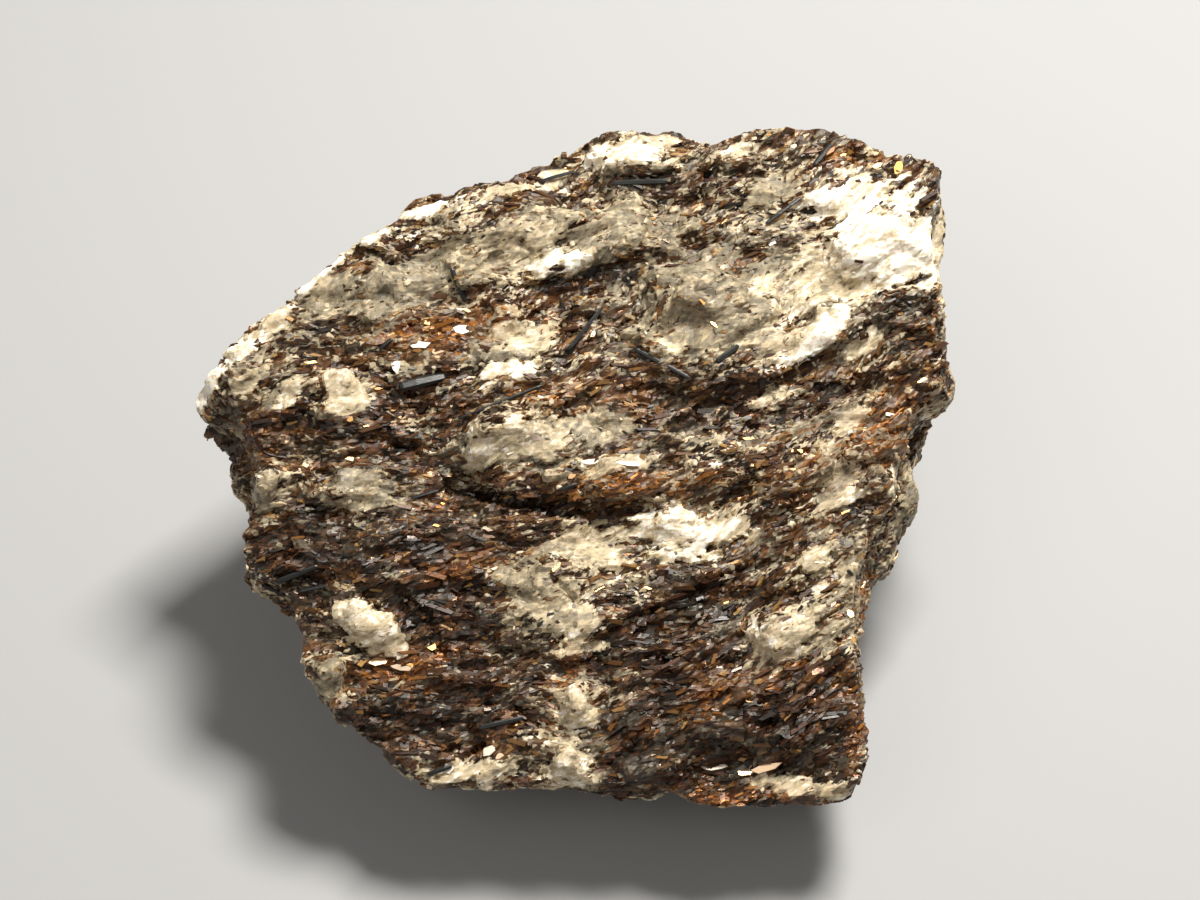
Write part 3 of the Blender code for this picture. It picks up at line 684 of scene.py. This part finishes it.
def brown_tones(finish, chance, rusty, rust_chance):
    """The colour of a blade: black, maroon, brown or tan by its own chance, or rusty."""
    colour = finish.mix(finish.ramp(chance, 0.10, 0.40), BLACK_BROWN, MAROON)
    colour = finish.mix(finish.ramp(chance, 0.38, 0.72), colour, WARM_BROWN)
    colour = finish.mix(finish.ramp(chance, 0.74, 1.05), colour, TAN)
    return finish.mix(rusty, colour, rust_tones(finish, rust_chance))


def feldspar_tones(finish, paleness):
    """The colour of feldspar: smoky or grey where it is glassy, cream, then white."""
    colour = finish.mix(finish.ramp(paleness, -0.45, 0.15), SMOKY_FELDSPAR, GREY_FELDSPAR)
    colour = finish.mix(finish.ramp(paleness, 0.10, 0.60), colour, CREAM_FELDSPAR)
    return finish.mix(finish.ramp(paleness, 0.60, 1.10), colour, WHITE_FELDSPAR)


# %% Stone finish
def stone_finish():
    """The speckle of the skin: a mineral and a tone for each small cell."""
    finish = Finish("speckled_stone", follows_run=True)
    mineral, tone, glint = cell_colour(finish, (0.9, 2.2, 2.2))
    fine, fine_tone, rust_chance = cell_colour(finish, (2.4, 4.6, 4.6))
    share = finish.attribute("feldspar")
    darkness_and_shade = finish.attribute("dark_and_shade")
    stain = finish.attribute("rust")
    streak_and_sheen = finish.attribute("streak_and_sheen") - 0.5
    cloud = noise_signal(finish, (0.35, 0.7, 0.7), 4.0)
    blocky, blocky_tone, _ = cell_colour(finish, (1.5, 2.2, 2.2))
    in_feldspar = finish.ramp(share, 0.35, 0.75)
    chance = 0.45 * fine + 0.55 * (mineral + in_feldspar * (blocky - mineral))
    feldspar_here = finish.ramp(share + 0.5 * (cloud - 0.5) - chance, -0.06, 0.06)
    rusty = 0.85 * finish.ramp(stain + 0.8 * (cloud - 0.5) - 0.8 * fine_tone, -0.05, 0.25)
    # The dark attribute darkens blades and feldspar, partly as painted shade under ledges, in cracks
    # and on the left wall, and the streak lightens and darkens bands of blades, partly as painted
    # sheen.
    lift = 0.30 * finish.ramp(share, 0.5, 1.0) - 0.35 * darkness_and_shade + 0.6 * streak_and_sheen
    browns = brown_tones(finish, 0.45 * tone + 0.5 * fine_tone + lift, rusty, rust_chance)
    haze = noise_signal(finish, (0.22, 0.35, 0.35), 3.0)
    browns = finish.mix(0.55 * finish.ramp(haze, 0.48, 0.62), browns, OLIVE_GREY)
    milk = noise_signal(finish, (0.6, 0.8, 0.8), 4.0, 0.60, 0.3)
    cracks = noise_signal(finish, (2.6, 3.0, 3.0), 3.0, 0.65)
    grain_tone = 0.30 * (fine_tone - 0.5) + 0.50 * (blocky_tone - 0.5) + 0.8 * (cracks - 0.5)
    paleness = finish.attribute("pale") + 1.5 * (milk - 0.5) + grain_tone - 0.7 * darkness_and_shade
    creams = feldspar_tones(finish, paleness - 0.25 * stain)
    stained = finish.mix(0.30 * stain * milk, creams, RUST_ORANGE)
    finish.set(Base_Color=finish.mix(feldspar_here, browns, stained))
    shine = finish.ramp(glint, 0.55, 0.95)
    finish.set(Roughness=0.40 + 0.20 * feldspar_here - 0.22 * shine)
    finish.set(Metallic=(1 - feldspar_here) * shine * 0.5)
    finish.set(Specular_IOR_Level=0.4)
    finish.set(Subsurface_Weight=0.5, Subsurface_Radius=(1.0, 0.7, 0.4))
    finish.set(Subsurface_Scale=0.8 * MM)
    grit = noise_signal(finish, (2.2, 5.0, 5.0), 4.0, 0.7)
    height = 0.5 * grit * (1 - 0.5 * feldspar_here) + 0.5 * fine * (1 - 0.8 * feldspar_here)
    finish.bump(height, 0.5, 0.15)
    return finish.material


stone = stone_finish()
skin.data.materials.clear()
skin.data.materials.append(stone)
print("finish:", stone.name)

# %% [markdown]
# ## Small crystals to scatter
# A blade is a thin lath with slanted ends, and a grain of feldspar is a rough block. Each kind has
# a few shapes, with less than two dozen faces apiece, because they are repeated thousands of
# times. They are modelled one unit long, lying along X with Z up, and most of a blade's thickness
# is below its origin, in the stone. The scatter gives each copy its size.

# %% Blade and grain shapes
BLADE_BOTTOM, BLADE_TOP = -0.75, 0.25  # how far a blade reaches into the stone and out of it


def hidden_shape(name, bm):
    """Makes an object of a bmesh that is only used as a pattern for copies."""
    bmesh.ops.recalc_face_normals(bm, faces=bm.faces[:])
    return mesh_object(name, bm, shown=False)


def lath_shape(name, outline, top_share, lean):
    """A thin closed plate: an outline at the bottom, and a smaller one shifted by lean on top."""
    bm = bmesh.new()
    lower = [bm.verts.new((x, y, BLADE_BOTTOM)) for x, y in outline]
    upper = [bm.verts.new((top_share * x + lean, top_share * y, BLADE_TOP)) for x, y in outline]
    for i in range(len(outline)):
        j = (i + 1) % len(outline)
        bm.faces.new((lower[i], lower[j], upper[j], upper[i]))
    bm.faces.new(upper)
    bm.faces.new(lower[::-1])
    bmesh.ops.triangulate(bm, faces=bm.faces[:])
    return hidden_shape(name, bm)


def grain_shape(name, seed):
    """A rough block: the hull of a few random points."""
    rng = random.Random(seed)
    bm = bmesh.new()
    for _ in range(9):
        corner = Vector((rng.uniform(-1, 1), rng.uniform(-1, 1), rng.uniform(-1, 1)))
        bm.verts.new(corner.normalized() * rng.uniform(0.42, 0.58))
    hull = bmesh.ops.convex_hull(bm, input=bm.verts[:])
    unused = [v for v in hull["geom_interior"] if isinstance(v, bmesh.types.BMVert)]
    bmesh.ops.delete(bm, geom=unused, context="VERTS")
    return hidden_shape(name, bm)


blade_shapes = [
    lath_shape("lath_a", [(-0.5, -0.3), (0.42, -0.5), (0.5, 0.3), (-0.4, 0.5)], 0.86, 0.02),
    lath_shape("lath_b", [(-0.5, 0.0), (-0.3, -0.5), (0.5, -0.35), (0.3, 0.5)], 0.80, -0.02),
    lath_shape("lath_c", [(-0.5, -0.1), (0.1, -0.5), (0.5, 0.1), (-0.2, 0.5)], 0.75, 0.0),
]
grain_shapes = [grain_shape(f"grain_{seed}", seed) for seed in (2, 5, 8)]
print("faces a blade:", len(blade_shapes[0].data.polygons))

# %% [markdown]
# ## Scatter by Geometry Nodes
# A tree spreads points over the skin, more of them where a stored attribute says so, turns each
# copy's Z out of the rock and its X to the run, tilts it a little by chance, and picks a size. Each
# copy stores a random tone for its finish, and the skin's own attributes come along with the
# points. Realize Instances turns the copies into plain mesh.


# %% Trees of Geometry Nodes
VECTOR = "FLOAT_VECTOR"
CHANCE_SOCKETS = {VECTOR: (0, 1, 0), "FLOAT": (2, 3, 1), "INT": (4, 5, 2)}


class GeometryTree(Network):
    """A Geometry Nodes tree with named inputs."""

    def __init__(self, name, **inputs):
        self.tree = bpy.data.node_groups.new(name, "GeometryNodeTree")
        new_socket = self.tree.interface.new_socket
        for key, kind in inputs.items():
            new_socket(key, in_out="INPUT", socket_type="NodeSocket" + kind)
        new_socket("Crystals", in_out="OUTPUT", socket_type="NodeSocketGeometry")

    def given(self, name):
        """One of the tree's own inputs."""
        return self.node("NodeGroupInput", {}, {}, name)

    def field(self, name, kind="FLOAT"):
        """A value stored on the mesh."""
        return self.node("GeometryNodeInputNamedAttribute", {"data_type": kind}, {"Name": name})

    def chance(self, kind, low, high, seed):
        """A random number, vector or whole number between two limits, which may be signals."""
        first, last, output = CHANCE_SOCKETS[kind]
        inputs = {first: low, last: high, 8: seed}
        return self.node("FunctionNodeRandomValue", {"data_type": kind}, inputs, output)


# %% Scatter tree
def scatter_tree(shapes):
    """The tree that scatters copies of these shapes over the skin."""
    sizes = {"Smallest": "Vector", "Largest": "Vector", "Tilt": "Vector"}
    tree = GeometryTree(
        "scatter_" + shapes[0].name,
        **{"Skin": "Geometry", "Density": "Float", **sizes, "Seed": "Int", "Finish": "Material"},
    )
    points = tree.node(
        "GeometryNodeDistributePointsOnFaces",
        {},
        {
            "Mesh": tree.given("Skin"),
            "Density": tree.field("share") * tree.given("Density"),
            "Seed": tree.given("Seed"),
        },
    )
    upright = tree.node(
        "FunctionNodeAlignRotationToVector", {"axis": "Z"}, {"Vector": tree.field(LIE, VECTOR)}
    )
    along = tree.node(
        "FunctionNodeAlignRotationToVector",
        {"axis": "X", "pivot_axis": "Z"},
        {"Rotation": upright, "Vector": tree.field(RUN, VECTOR)},
    )
    least = tree.node(
        "ShaderNodeVectorMath", {"operation": "SCALE"}, {0: tree.given("Tilt"), "Scale": -1.0}
    )
    tilt = tree.chance(VECTOR, least, tree.given("Tilt"), 3)
    turned = tree.node(
        "FunctionNodeRotateRotation",
        {"rotation_space": "LOCAL"},
        {"Rotation": along, "Rotate By": tree.node("FunctionNodeEulerToRotation", {}, {0: tilt})},
    )
    patterns = tree.node("GeometryNodeJoinGeometry")
    for shape in reversed(shapes):
        inputs = {"Object": shape, "As Instance": True}
        pattern = tree.node("GeometryNodeObjectInfo", {}, inputs, "Geometry")
        tree.feed(patterns.socket.node.inputs[0], pattern)
    copies = tree.node(
        "GeometryNodeInstanceOnPoints",
        {},
        {
            "Points": points,
            "Instance": patterns,
            "Pick Instance": True,
            "Instance Index": tree.chance("INT", 0, len(shapes) - 1, 5),
            "Rotation": turned,
            "Scale": tree.chance(VECTOR, tree.given("Smallest"), tree.given("Largest"), 7),
        },
    )
    toned = tree.node(
        "GeometryNodeStoreNamedAttribute",
        {"data_type": "FLOAT", "domain": "INSTANCE"},
        {"Geometry": copies, "Name": "tone", "Value": tree.chance("FLOAT", 0.0, 1.0, 11)},
    )
    real = tree.node("GeometryNodeRealizeInstances", {}, {0: toned})
    inputs = {"Geometry": real, "Material": tree.given("Finish")}
    painted = tree.node("GeometryNodeSetMaterial", {}, inputs)
    group_output = tree.tree.nodes.new("NodeGroupOutput")
    tree.feed(group_output.inputs[0], painted)
    return tree.tree


blade_tree = scatter_tree(blade_shapes)
grain_tree = scatter_tree(grain_shapes)
print("nodes in the blades' tree:", len(blade_tree.nodes))


# %% Scatter one kind of crystal
def scatter(name, group, share, density, finish, seed, smallest, largest, tilt):
    """Scatters crystals over the skin and returns them as one plain mesh."""
    source = skin.copy()
    source.data = skin.data.copy()
    source.name = name
    bpy.context.scene.collection.objects.link(source)
    store(source, "share", np.clip(share, 0.0, 1.0))
    modifier = source.modifiers.new("scatter", "NODES")
    modifier.node_group = group
    values = {
        "Density": density,
        "Smallest": tuple(side * MM for side in smallest),
        "Largest": tuple(side * MM for side in largest),
        "Tilt": tuple(math.radians(angle) for angle in tilt),
        "Seed": seed,
        "Finish": finish,
    }
    for socket in group.interface.items_tree:
        if socket.name in values:
            modifier[socket.identifier] = values[socket.name]
    source.update_tag()
    bake_modifiers(source)
    print(name, "triangles:", sum(len(p.vertices) - 2 for p in source.data.polygons))
    return source


# %% [markdown]
# ## Finish of the blades
# A blade's broad face is a cleavage plane: it shines like dark bronze and turns almost metallic
# where it catches the light. The tone that the scatter stored picks each blade's colour, together
# with the streak that neighbours share, which partly paints the sheen of blades that catch the
# light together. The dark attribute darkens blades, partly as painted shade. Fine lines run along
# each blade, as mica-like sheets end there.


# %% Blade finishes
def blade_finish(name, tones, roughness, metallic, rust_share):
    """A finish for blades whose stored tone runs through these colours."""
    finish = Finish(name)
    tone = finish.attribute("tone")
    lines = noise_signal(finish, (1.2, 9.0, 9.0), 3.0)
    cloud = noise_signal(finish, (0.4, 0.7, 0.7), 2.0)
    # The streak's tone, shared by neighbours, partly paints their common sheen; dark is partly
    # painted shade.
    shared = 0.75 * tone + 0.6 * finish.attribute("streak_and_sheen") - 0.18
    mixed = shared + 0.45 * (lines - 0.5) - 0.35 * finish.attribute("dark_and_shade")
    colour = tones[0]
    for level, following in zip((0.12, 0.42, 0.74), tones[1:]):
        colour = finish.mix(finish.ramp(mixed, level, level + 0.24), colour, following)
    stain = finish.ramp(finish.attribute("rust") + 0.8 * (cloud - 0.5) - 0.7 * tone, -0.05, 0.3)
    rusty = rust_tones(finish, tone + 0.8 * (lines - 0.5) + 0.4)
    finish.set(Base_Color=finish.mix(stain * rust_share, colour, rusty))
    finish.set(Roughness=roughness + 0.3 * (lines - 0.5) + 0.15 * (tone - 0.5))
    finish.set(Metallic=metallic * finish.ramp(tone, 0.3, 0.9))
    finish.set(Specular_IOR_Level=0.4)
    finish.bump(lines, 0.35, 0.06)
    return finish.material


DEEP_BROWN = (0.074, 0.032, 0.009, 1.0)
CLOVE = (0.23, 0.125, 0.042, 1.0)
BRONZE = (0.22, 0.115, 0.038, 1.0)
LIGHT_BRONZE = (0.42, 0.25, 0.095, 1.0)
GLINT = (0.80, 0.63, 0.40, 1.0)
brown_tone_steps = [BLACK_BROWN, MAROON, DEEP_BROWN, CLOVE]
bronze_tone_steps = [WARM_BROWN, BRONZE, LIGHT_BRONZE, GLINT]
brown_blades = blade_finish("astrophyllite_brown", brown_tone_steps, 0.42, 0.35, 0.8)
bronze_blades = blade_finish("astrophyllite_bronze", bronze_tone_steps, 0.24, 0.7, 0.6)
print("finishes:", brown_blades.name, bronze_blades.name)

# %% [markdown]
# ## Finish of the loose feldspar grains
# Most of the small grains are smoky or cream and few are white, so a grain's paleness grows with
# the square of its tone. Grains in a pale patch are paler too. They have a glassy gloss, and the
# iron of their rusty neighbours stains some of them.


# %% Feldspar grain finish
def grain_finish():
    """Sugary feldspar, from smoky to white."""
    finish = Finish("feldspar_grain")
    tone = finish.attribute("tone")
    milk = noise_signal(finish, (0.9, 1.6, 1.6), 4.0)
    paleness = 0.85 * tone * tone + 0.55 * finish.attribute("pale") - 0.20
    # Grains in the dark zones are darker, partly as painted shade under ledges, in cracks and on the
    # left wall.
    paleness = paleness + 0.6 * (milk - 0.5) - 0.75 * finish.attribute("dark_and_shade")
    colour = feldspar_tones(finish, paleness)
    stain = finish.attribute("rust") * 0.4 * finish.ramp(milk, 0.45, 0.7)
    finish.set(Base_Color=finish.mix(stain, colour, RUST_ORANGE))
    finish.set(Roughness=0.34 + 0.3 * milk)
    finish.set(Specular_IOR_Level=0.55)
    return finish.material


feldspar_grain = grain_finish()
print("finish:", feldspar_grain.name)

# %% [markdown]
# ## Scattering the crystals
# Brown blades crowd wherever there is no feldspar, a few bronze ones lie among them, and small
# grains of feldspar fill in between. On walls that cut across the run only blade ends would show,
# so long blades stay away from there, and from sharp edges, where they would stick out. Nothing is
# scattered on the flat spot or close to the ground. The brown blades come as two pieces, so that
# long and short ones can have shares of their own.

# %% Scatter the crystals
CLEAR_LOW, CLEAR_HIGH = 0.35, 1.4  # mm above the ground between which the crystals fade in

skin_points = read_points(skin, "co")
clear = smoothstep(CLEAR_LOW, CLEAR_HIGH, skin_points[:, 2] / MM)
facing_run = np.abs(np.sum(skin_normals * run_directions(skin_points), axis=1))
lying = 1.0 - smoothstep(0.60, 0.85, facing_run)
steady = clear * flat
blades_share = steady * (1.0 - smoothstep(0.15, 0.95, feldspar))
long_share = blades_share * flat_wide * (0.6 + 0.4 * dark_and_shade) * lying
short_share = (blades_share + 0.08 * steady * (1.0 - 0.8 * patch)) * (0.3 + 0.7 * lying)
bronze_share = steady * (1.0 - patch) * (0.3 + 0.7 * rust) * (0.2 + 0.8 * lying)
grain_share = clear * (0.3 + 0.7 * flat) * (1.0 - 0.75 * patch) * smoothstep(0.05, 0.6, feldspar)
CRYSTALS = [
    # name, tree, share, crystals on a square metre where the share is 1, finish and seed,
    # then the smallest and largest length, width and thickness in mm, and the tilt in degrees
    ("brown_blades_long", blade_tree, long_share, 0.60e6, brown_blades, 3,
     (0.8, 0.22, 0.12), (2.4, 0.55, 0.30), (12.0, 5.0, 24.0)),
    ("brown_blades_short", blade_tree, short_share, 1.25e6, brown_blades, 5,
     (0.35, 0.18, 0.12), (1.0, 0.42, 0.30), (20.0, 10.0, 40.0)),
    ("bronze_blades", blade_tree, bronze_share, 0.6e6, bronze_blades, 7,
     (0.4, 0.20, 0.12), (1.4, 0.50, 0.30), (18.0, 10.0, 36.0)),
    ("feldspar_grains", grain_tree, grain_share, 0.85e6, feldspar_grain, 9,
     (0.32, 0.24, 0.16), (1.00, 0.70, 0.34), (20.0, 20.0, 30.0)),
]
scattered = [scatter(*row) for row in CRYSTALS]

# %% [markdown]
# ## Aegirine needles
# The black needles are few, and the eye goes to them, so they are placed one by one where the
# photograph shows them. Each is a six-sided prism that bends a little and narrows at its ends. A
# pixel gives each end's place, and a ray finds it on the rock. The needle is then lifted over the
# highest bump between its ends, and sinks a little into the stone.

# %% Needles in the photograph
NEEDLES = [
    # x and y of one end, x and y of the other end, width in mm
    (568, 350, 602, 308, 0.42), (634, 349, 690, 379, 0.40), (400, 388, 446, 377, 0.95),
    (460, 418, 542, 385, 0.34), (612, 184, 668, 182, 0.50), (766, 225, 802, 198, 0.34),
    (452, 268, 466, 302, 0.50), (480, 728, 524, 718, 0.45), (276, 582, 318, 566, 0.50),
    (560, 490, 578, 484, 0.30), (428, 774, 452, 766, 0.40), (410, 500, 438, 492, 0.30),
    (540, 182, 575, 172, 0.30), (716, 362, 738, 346, 0.50), (814, 166, 831, 145, 0.48),
    (846, 572, 858, 580, 0.40), (380, 350, 392, 340, 0.36), (300, 592, 350, 582, 0.34),
]
print("needles:", len(NEEDLES))

# %% Needle shape
NEEDLE_BEND = 0.10 * MM
NEEDLE_SIDES = 6
NEEDLE_ROLL = 15.0  # how far the prism is turned about its length, in degrees
NEEDLE_FLATNESS = 0.7  # its thickness for its width
NEEDLE_GIRTHS = [(0.0, 0.55), (0.06, 0.9), (0.35, 1.0), (0.7, 0.95), (0.95, 0.8), (1.0, 0.35)]


def needle(bm, start, end, width, normal):
    """Adds one closed prism from start to end, a little bent, lying on the surface."""
    run = end - start
    side = normal.cross(run).normalized()
    rise = run.cross(side).normalized()
    rings = []
    for share, girth in NEEDLE_GIRTHS:
        middle = start + run * share + rise * (NEEDLE_BEND * math.sin(math.pi * share))
        ring = []
        for corner in range(NEEDLE_SIDES):
            angle = math.radians(360.0 / NEEDLE_SIDES * corner + NEEDLE_ROLL)
            reach = 0.5 * width * MM * girth
            up = NEEDLE_FLATNESS * reach * math.sin(angle)
            ring.append(bm.verts.new(middle + side * (reach * math.cos(angle)) + rise * up))
        rings.append(ring)
    close_rings(bm, rings)


def close_rings(bm, rings):
    """Joins rings of corners by walls and closes both ends."""
    count = len(rings[0])
    for lower, upper in zip(rings, rings[1:]):
        for i in range(count):
            j = (i + 1) % count
            bm.faces.new((lower[i], lower[j], upper[j], upper[i]))
    bm.faces.new(rings[0][::-1])
    bm.faces.new(rings[-1])


# %% Needle finish
DARK_SLATE = (0.006, 0.007, 0.007, 1.0)
SLATE = (0.015, 0.018, 0.018, 1.0)


def needle_finish():
    """Black with a blue-grey gloss and fine lines along the needle."""
    finish = Finish("aegirine")
    lines = noise_signal(finish, (1.5, 12.0, 12.0), 3.0)
    cloud = noise_signal(finish, (0.8, 0.8, 0.8), 2.0)
    paler = finish.ramp(lines * 0.7 + cloud * 0.5, 0.45, 0.85)
    finish.set(Base_Color=finish.mix(paler, DARK_SLATE, SLATE))
    finish.set(Roughness=0.30 + 0.25 * lines)
    finish.set(Specular_IOR_Level=0.6)
    finish.bump(lines, 0.5, 0.05)
    return finish.material


# %% Place the needles
NEEDLE_STANDS = 0.12 * MM  # how far its middle line stands over the skin
NEEDLE_CHECKS = (0.2, 0.35, 0.5, 0.65, 0.8)  # where between its ends a bump is looked for

skin_tree = search_tree(skin)
bm = bmesh.new()
for x0, y0, x1, y1, width in NEEDLES:
    first, first_normal = on_rock(skin_tree, x0, y0)
    last, last_normal = on_rock(skin_tree, x1, y1)
    out = (first_normal + last_normal + 2.0 * FACE_NORMAL).normalized()
    rises = [0.0]
    for share in NEEDLE_CHECKS:
        below, _, _, _ = skin_tree.find_nearest(first.lerp(last, share))
        rises.append((below - first.lerp(last, share)).dot(out))
    lift = out * (NEEDLE_STANDS + 0.8 * max(rises))
    needle(bm, first + lift, last + lift, width, out)
bmesh.ops.recalc_face_normals(bm, faces=bm.faces[:])
needles = mesh_object("aegirine_needles", bm)
needles.data.materials.append(needle_finish())
print("faces of the needles:", len(needles.data.polygons))

# %% [markdown]
# ## Bright cleavage flakes
# Here and there a whole cleavage plane faces the light and flashes white, copper or gold. These
# flakes are wider than the blades, so the ones that stand out in the photograph are placed by
# pixel. Each is a thin closed plate with an outline of its own that lies on the skin, tilted a
# little, and stores its tone: 0 for white feldspar, 0.5 for copper, 1 for gold. The milky colour
# of the white flakes is partly a painted glint, as it is bright at any angle to the light.

# %% Flakes in the photograph
FLAKES = [
    # x, y, length and width in mm, turn in the face, lean in degrees, tone
    (462, 330, 1.3, 0.9, 5, 6, 0.0), (420, 345, 1.7, 0.7, 8, 4, 0.0),
    (396, 368, 0.9, 1.2, -5, 5, 0.0), (436, 352, 1.2, 0.5, 0, 5, 0.3),
    (380, 661, 1.7, 0.8, 12, 8, 0.35), (404, 668, 1.9, 0.5, -4, 6, 0.25),
    (362, 662, 0.9, 0.7, 20, 9, 0.7), (449, 769, 1.0, 1.1, 70, 8, 0.1),
    (489, 750, 1.4, 0.8, 35, 7, 0.15), (500, 757, 0.9, 0.6, 35, 9, 0.3),
    (716, 768, 2.2, 0.5, 4, 6, 0.15), (764, 768, 2.5, 0.6, 14, 7, 0.3),
    (744, 774, 1.6, 0.5, 10, 6, 0.4), (899, 168, 1.8, 0.9, 70, 8, 0.7),
    (852, 152, 1.1, 0.8, 50, 9, 0.85), (843, 156, 0.6, 0.5, 30, 8, 0.8),
    (878, 166, 0.8, 0.5, 20, 9, 0.7), (702, 302, 0.7, 0.28, -50, 12, 0.7),
    (714, 325, 0.7, 0.32, -40, 12, 0.75), (890, 415, 0.9, 0.4, -5, 7, 0.2),
    (853, 640, 0.5, 0.7, 0, 9, 0.75), (851, 614, 0.6, 0.7, 10, 9, 0.75),
    (572, 476, 0.9, 0.4, 20, 8, 0.4), (590, 462, 2.4, 0.5, 6, 6, 0.15),
    (626, 464, 2.2, 0.5, -4, 6, 0.2), (432, 648, 0.9, 0.5, 20, 9, 0.8),
    (350, 420, 0.8, 0.4, 30, 8, 0.6),
]
print("flakes:", len(FLAKES))

# %% Flake shape
FLAKE_CORNERS = 7
FLAKE_THICKNESS = 0.14 * MM
FLAKE_STANDS = 0.12 * MM  # how far its top stands out of the skin
flake_chance = random.Random(331)


def flake_outline():
    """The corners of one flake of unit size, at uneven angles and distances from its middle."""
    corners = []
    for i in range(FLAKE_CORNERS):
        angle = math.tau * (i + flake_chance.uniform(-0.35, 0.35)) / FLAKE_CORNERS
        reach = flake_chance.uniform(0.30, 0.62)
        corners.append((reach * math.cos(angle), reach * math.sin(angle)))
    return corners


def flake(bm, tone_layer, middle, normal, length, width, turn, lean, tone):
    """Adds one thin closed plate that lies on the surface at its middle."""
    wanted = in_face(turn)
    along = (wanted - normal * wanted.dot(normal)).normalized()
    across = normal.cross(along)
    out = (normal + across * math.sin(math.radians(lean))).normalized()
    across = out.cross(along)
    outline = flake_outline()
    rings = []
    for height in (FLAKE_STANDS - FLAKE_THICKNESS, FLAKE_STANDS):
        ring = []
        for x, y in outline:
            offset = along * (x * length * MM) + across * (y * width * MM) + out * height
            corner = bm.verts.new(middle + offset)
            corner[tone_layer] = tone
            ring.append(corner)
        rings.append(ring)
    close_rings(bm, rings)


# %% Flake finish
MILKY_PAINTED_GLINT = (0.92, 0.88, 0.80, 1.0)
COPPER = (0.80, 0.46, 0.19, 1.0)
GOLD = (0.80, 0.44, 0.07, 1.0)


def flake_finish():
    """Milky, copper or gold by the stored tone, with the gloss of a fresh cleavage plane.
    The milky colour is partly a painted glint.
    """
    finish = Finish("cleavage_flake")
    tone = finish.attribute("tone")
    lines = noise_signal(finish, (1.0, 4.0, 4.0), 3.0)
    # The milky colour paints part of a glint into the white flakes.
    colour = finish.mix(finish.ramp(tone, 0.0, 0.5), MILKY_PAINTED_GLINT, COPPER)
    colour = finish.mix(finish.ramp(tone, 0.5, 1.0), colour, GOLD)
    finish.set(Base_Color=finish.mix(0.5 * finish.ramp(lines, 0.5, 0.8), colour, WARM_BROWN))
    finish.set(Roughness=0.16 + 0.25 * lines)
    finish.set(Metallic=0.9 * tone)
    finish.set(Specular_IOR_Level=0.7)
    return finish.material


# %% Place the flakes
bm = bmesh.new()
tone_layer = bm.verts.layers.float.new("tone")
for x, y, length, width, turn, lean, tone in FLAKES:
    middle, normal = on_rock(skin_tree, x, y)
    facing = (normal + 2.0 * FACE_NORMAL).normalized()
    flake(bm, tone_layer, middle, facing, length, width, turn, lean, tone)
bmesh.ops.recalc_face_normals(bm, faces=bm.faces[:])
flakes = mesh_object("cleavage_flakes", bm)
flakes.data.materials.append(flake_finish())
print("faces of the flakes:", len(flakes.data.polygons))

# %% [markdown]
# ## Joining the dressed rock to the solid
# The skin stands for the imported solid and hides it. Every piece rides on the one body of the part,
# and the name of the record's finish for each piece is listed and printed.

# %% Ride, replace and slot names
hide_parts(ROCK)
BLADES = "astrophyllite_blades"
slots = ["speckled_stone", BLADES, BLADES, BLADES, "feldspar_grains", "aegirine_needles", BLADES]
for piece, slot in zip([skin, *scattered, needles, flakes], slots):
    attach(piece, "root")
    print(piece.name, "on root as", slot)

# %% [markdown]
# ## Floor and light
# The floor is plain and pale. A soft key light stands behind the specimen to the right, as in
# the photograph, where the top right corner is brightest and the shadow falls to the left and
# forward. A wide fill from the front left keeps the dark blades readable.

# %% Floor
FLOOR_HALF = 0.6
FLOOR_COLOUR = (0.37, 0.38, 0.395, 1.0)

floor_finish = Finish("pale_floor")
floor_finish.set(Base_Color=FLOOR_COLOUR, Roughness=0.8)
bm = bmesh.new()
corners = [(-1, -1), (1, -1), (1, 1), (-1, 1)]
bm.faces.new([bm.verts.new((FLOOR_HALF * x, FLOOR_HALF * y, 0.0)) for x, y in corners])
floor = mesh_object("floor", bm)
floor.data.materials.append(floor_finish.material)
print("floor, m across:", 2.0 * FLOOR_HALF)

# %% Light
SPECIMEN_MIDDLE = Vector((0.0, 0.0, 0.015))
SKY_COLOUR = (1.0, 0.96, 0.91, 1.0)
SKY_STRENGTH = 0.17


def area_light(name, place, size, power, colour):
    """A square lamp that faces the specimen. Its place and size are in metres."""
    data = bpy.data.lights.new(name, "AREA")
    data.color = colour
    data.size = size
    data.energy = power
    lamp = bpy.data.objects.new(name, data)
    lamp.location = place
    lamp.rotation_euler = (SPECIMEN_MIDDLE - lamp.location).to_track_quat("-Z", "Y").to_euler()
    bpy.context.scene.collection.objects.link(lamp)


area_light("key", (0.11, 0.14, 0.36), 0.12, 3.0, (1.0, 0.95, 0.87))
area_light("fill", (-0.25, -0.30, 0.40), 0.40, 0.70, (1.0, 0.93, 0.84))
world = bpy.data.worlds.new("studio")
world.use_nodes = True
sky = world.node_tree.nodes["Background"].inputs
sky["Color"].default_value = SKY_COLOUR
sky["Strength"].default_value = SKY_STRENGTH
bpy.context.scene.world = world
bpy.context.scene.view_settings.view_transform = "Standard"
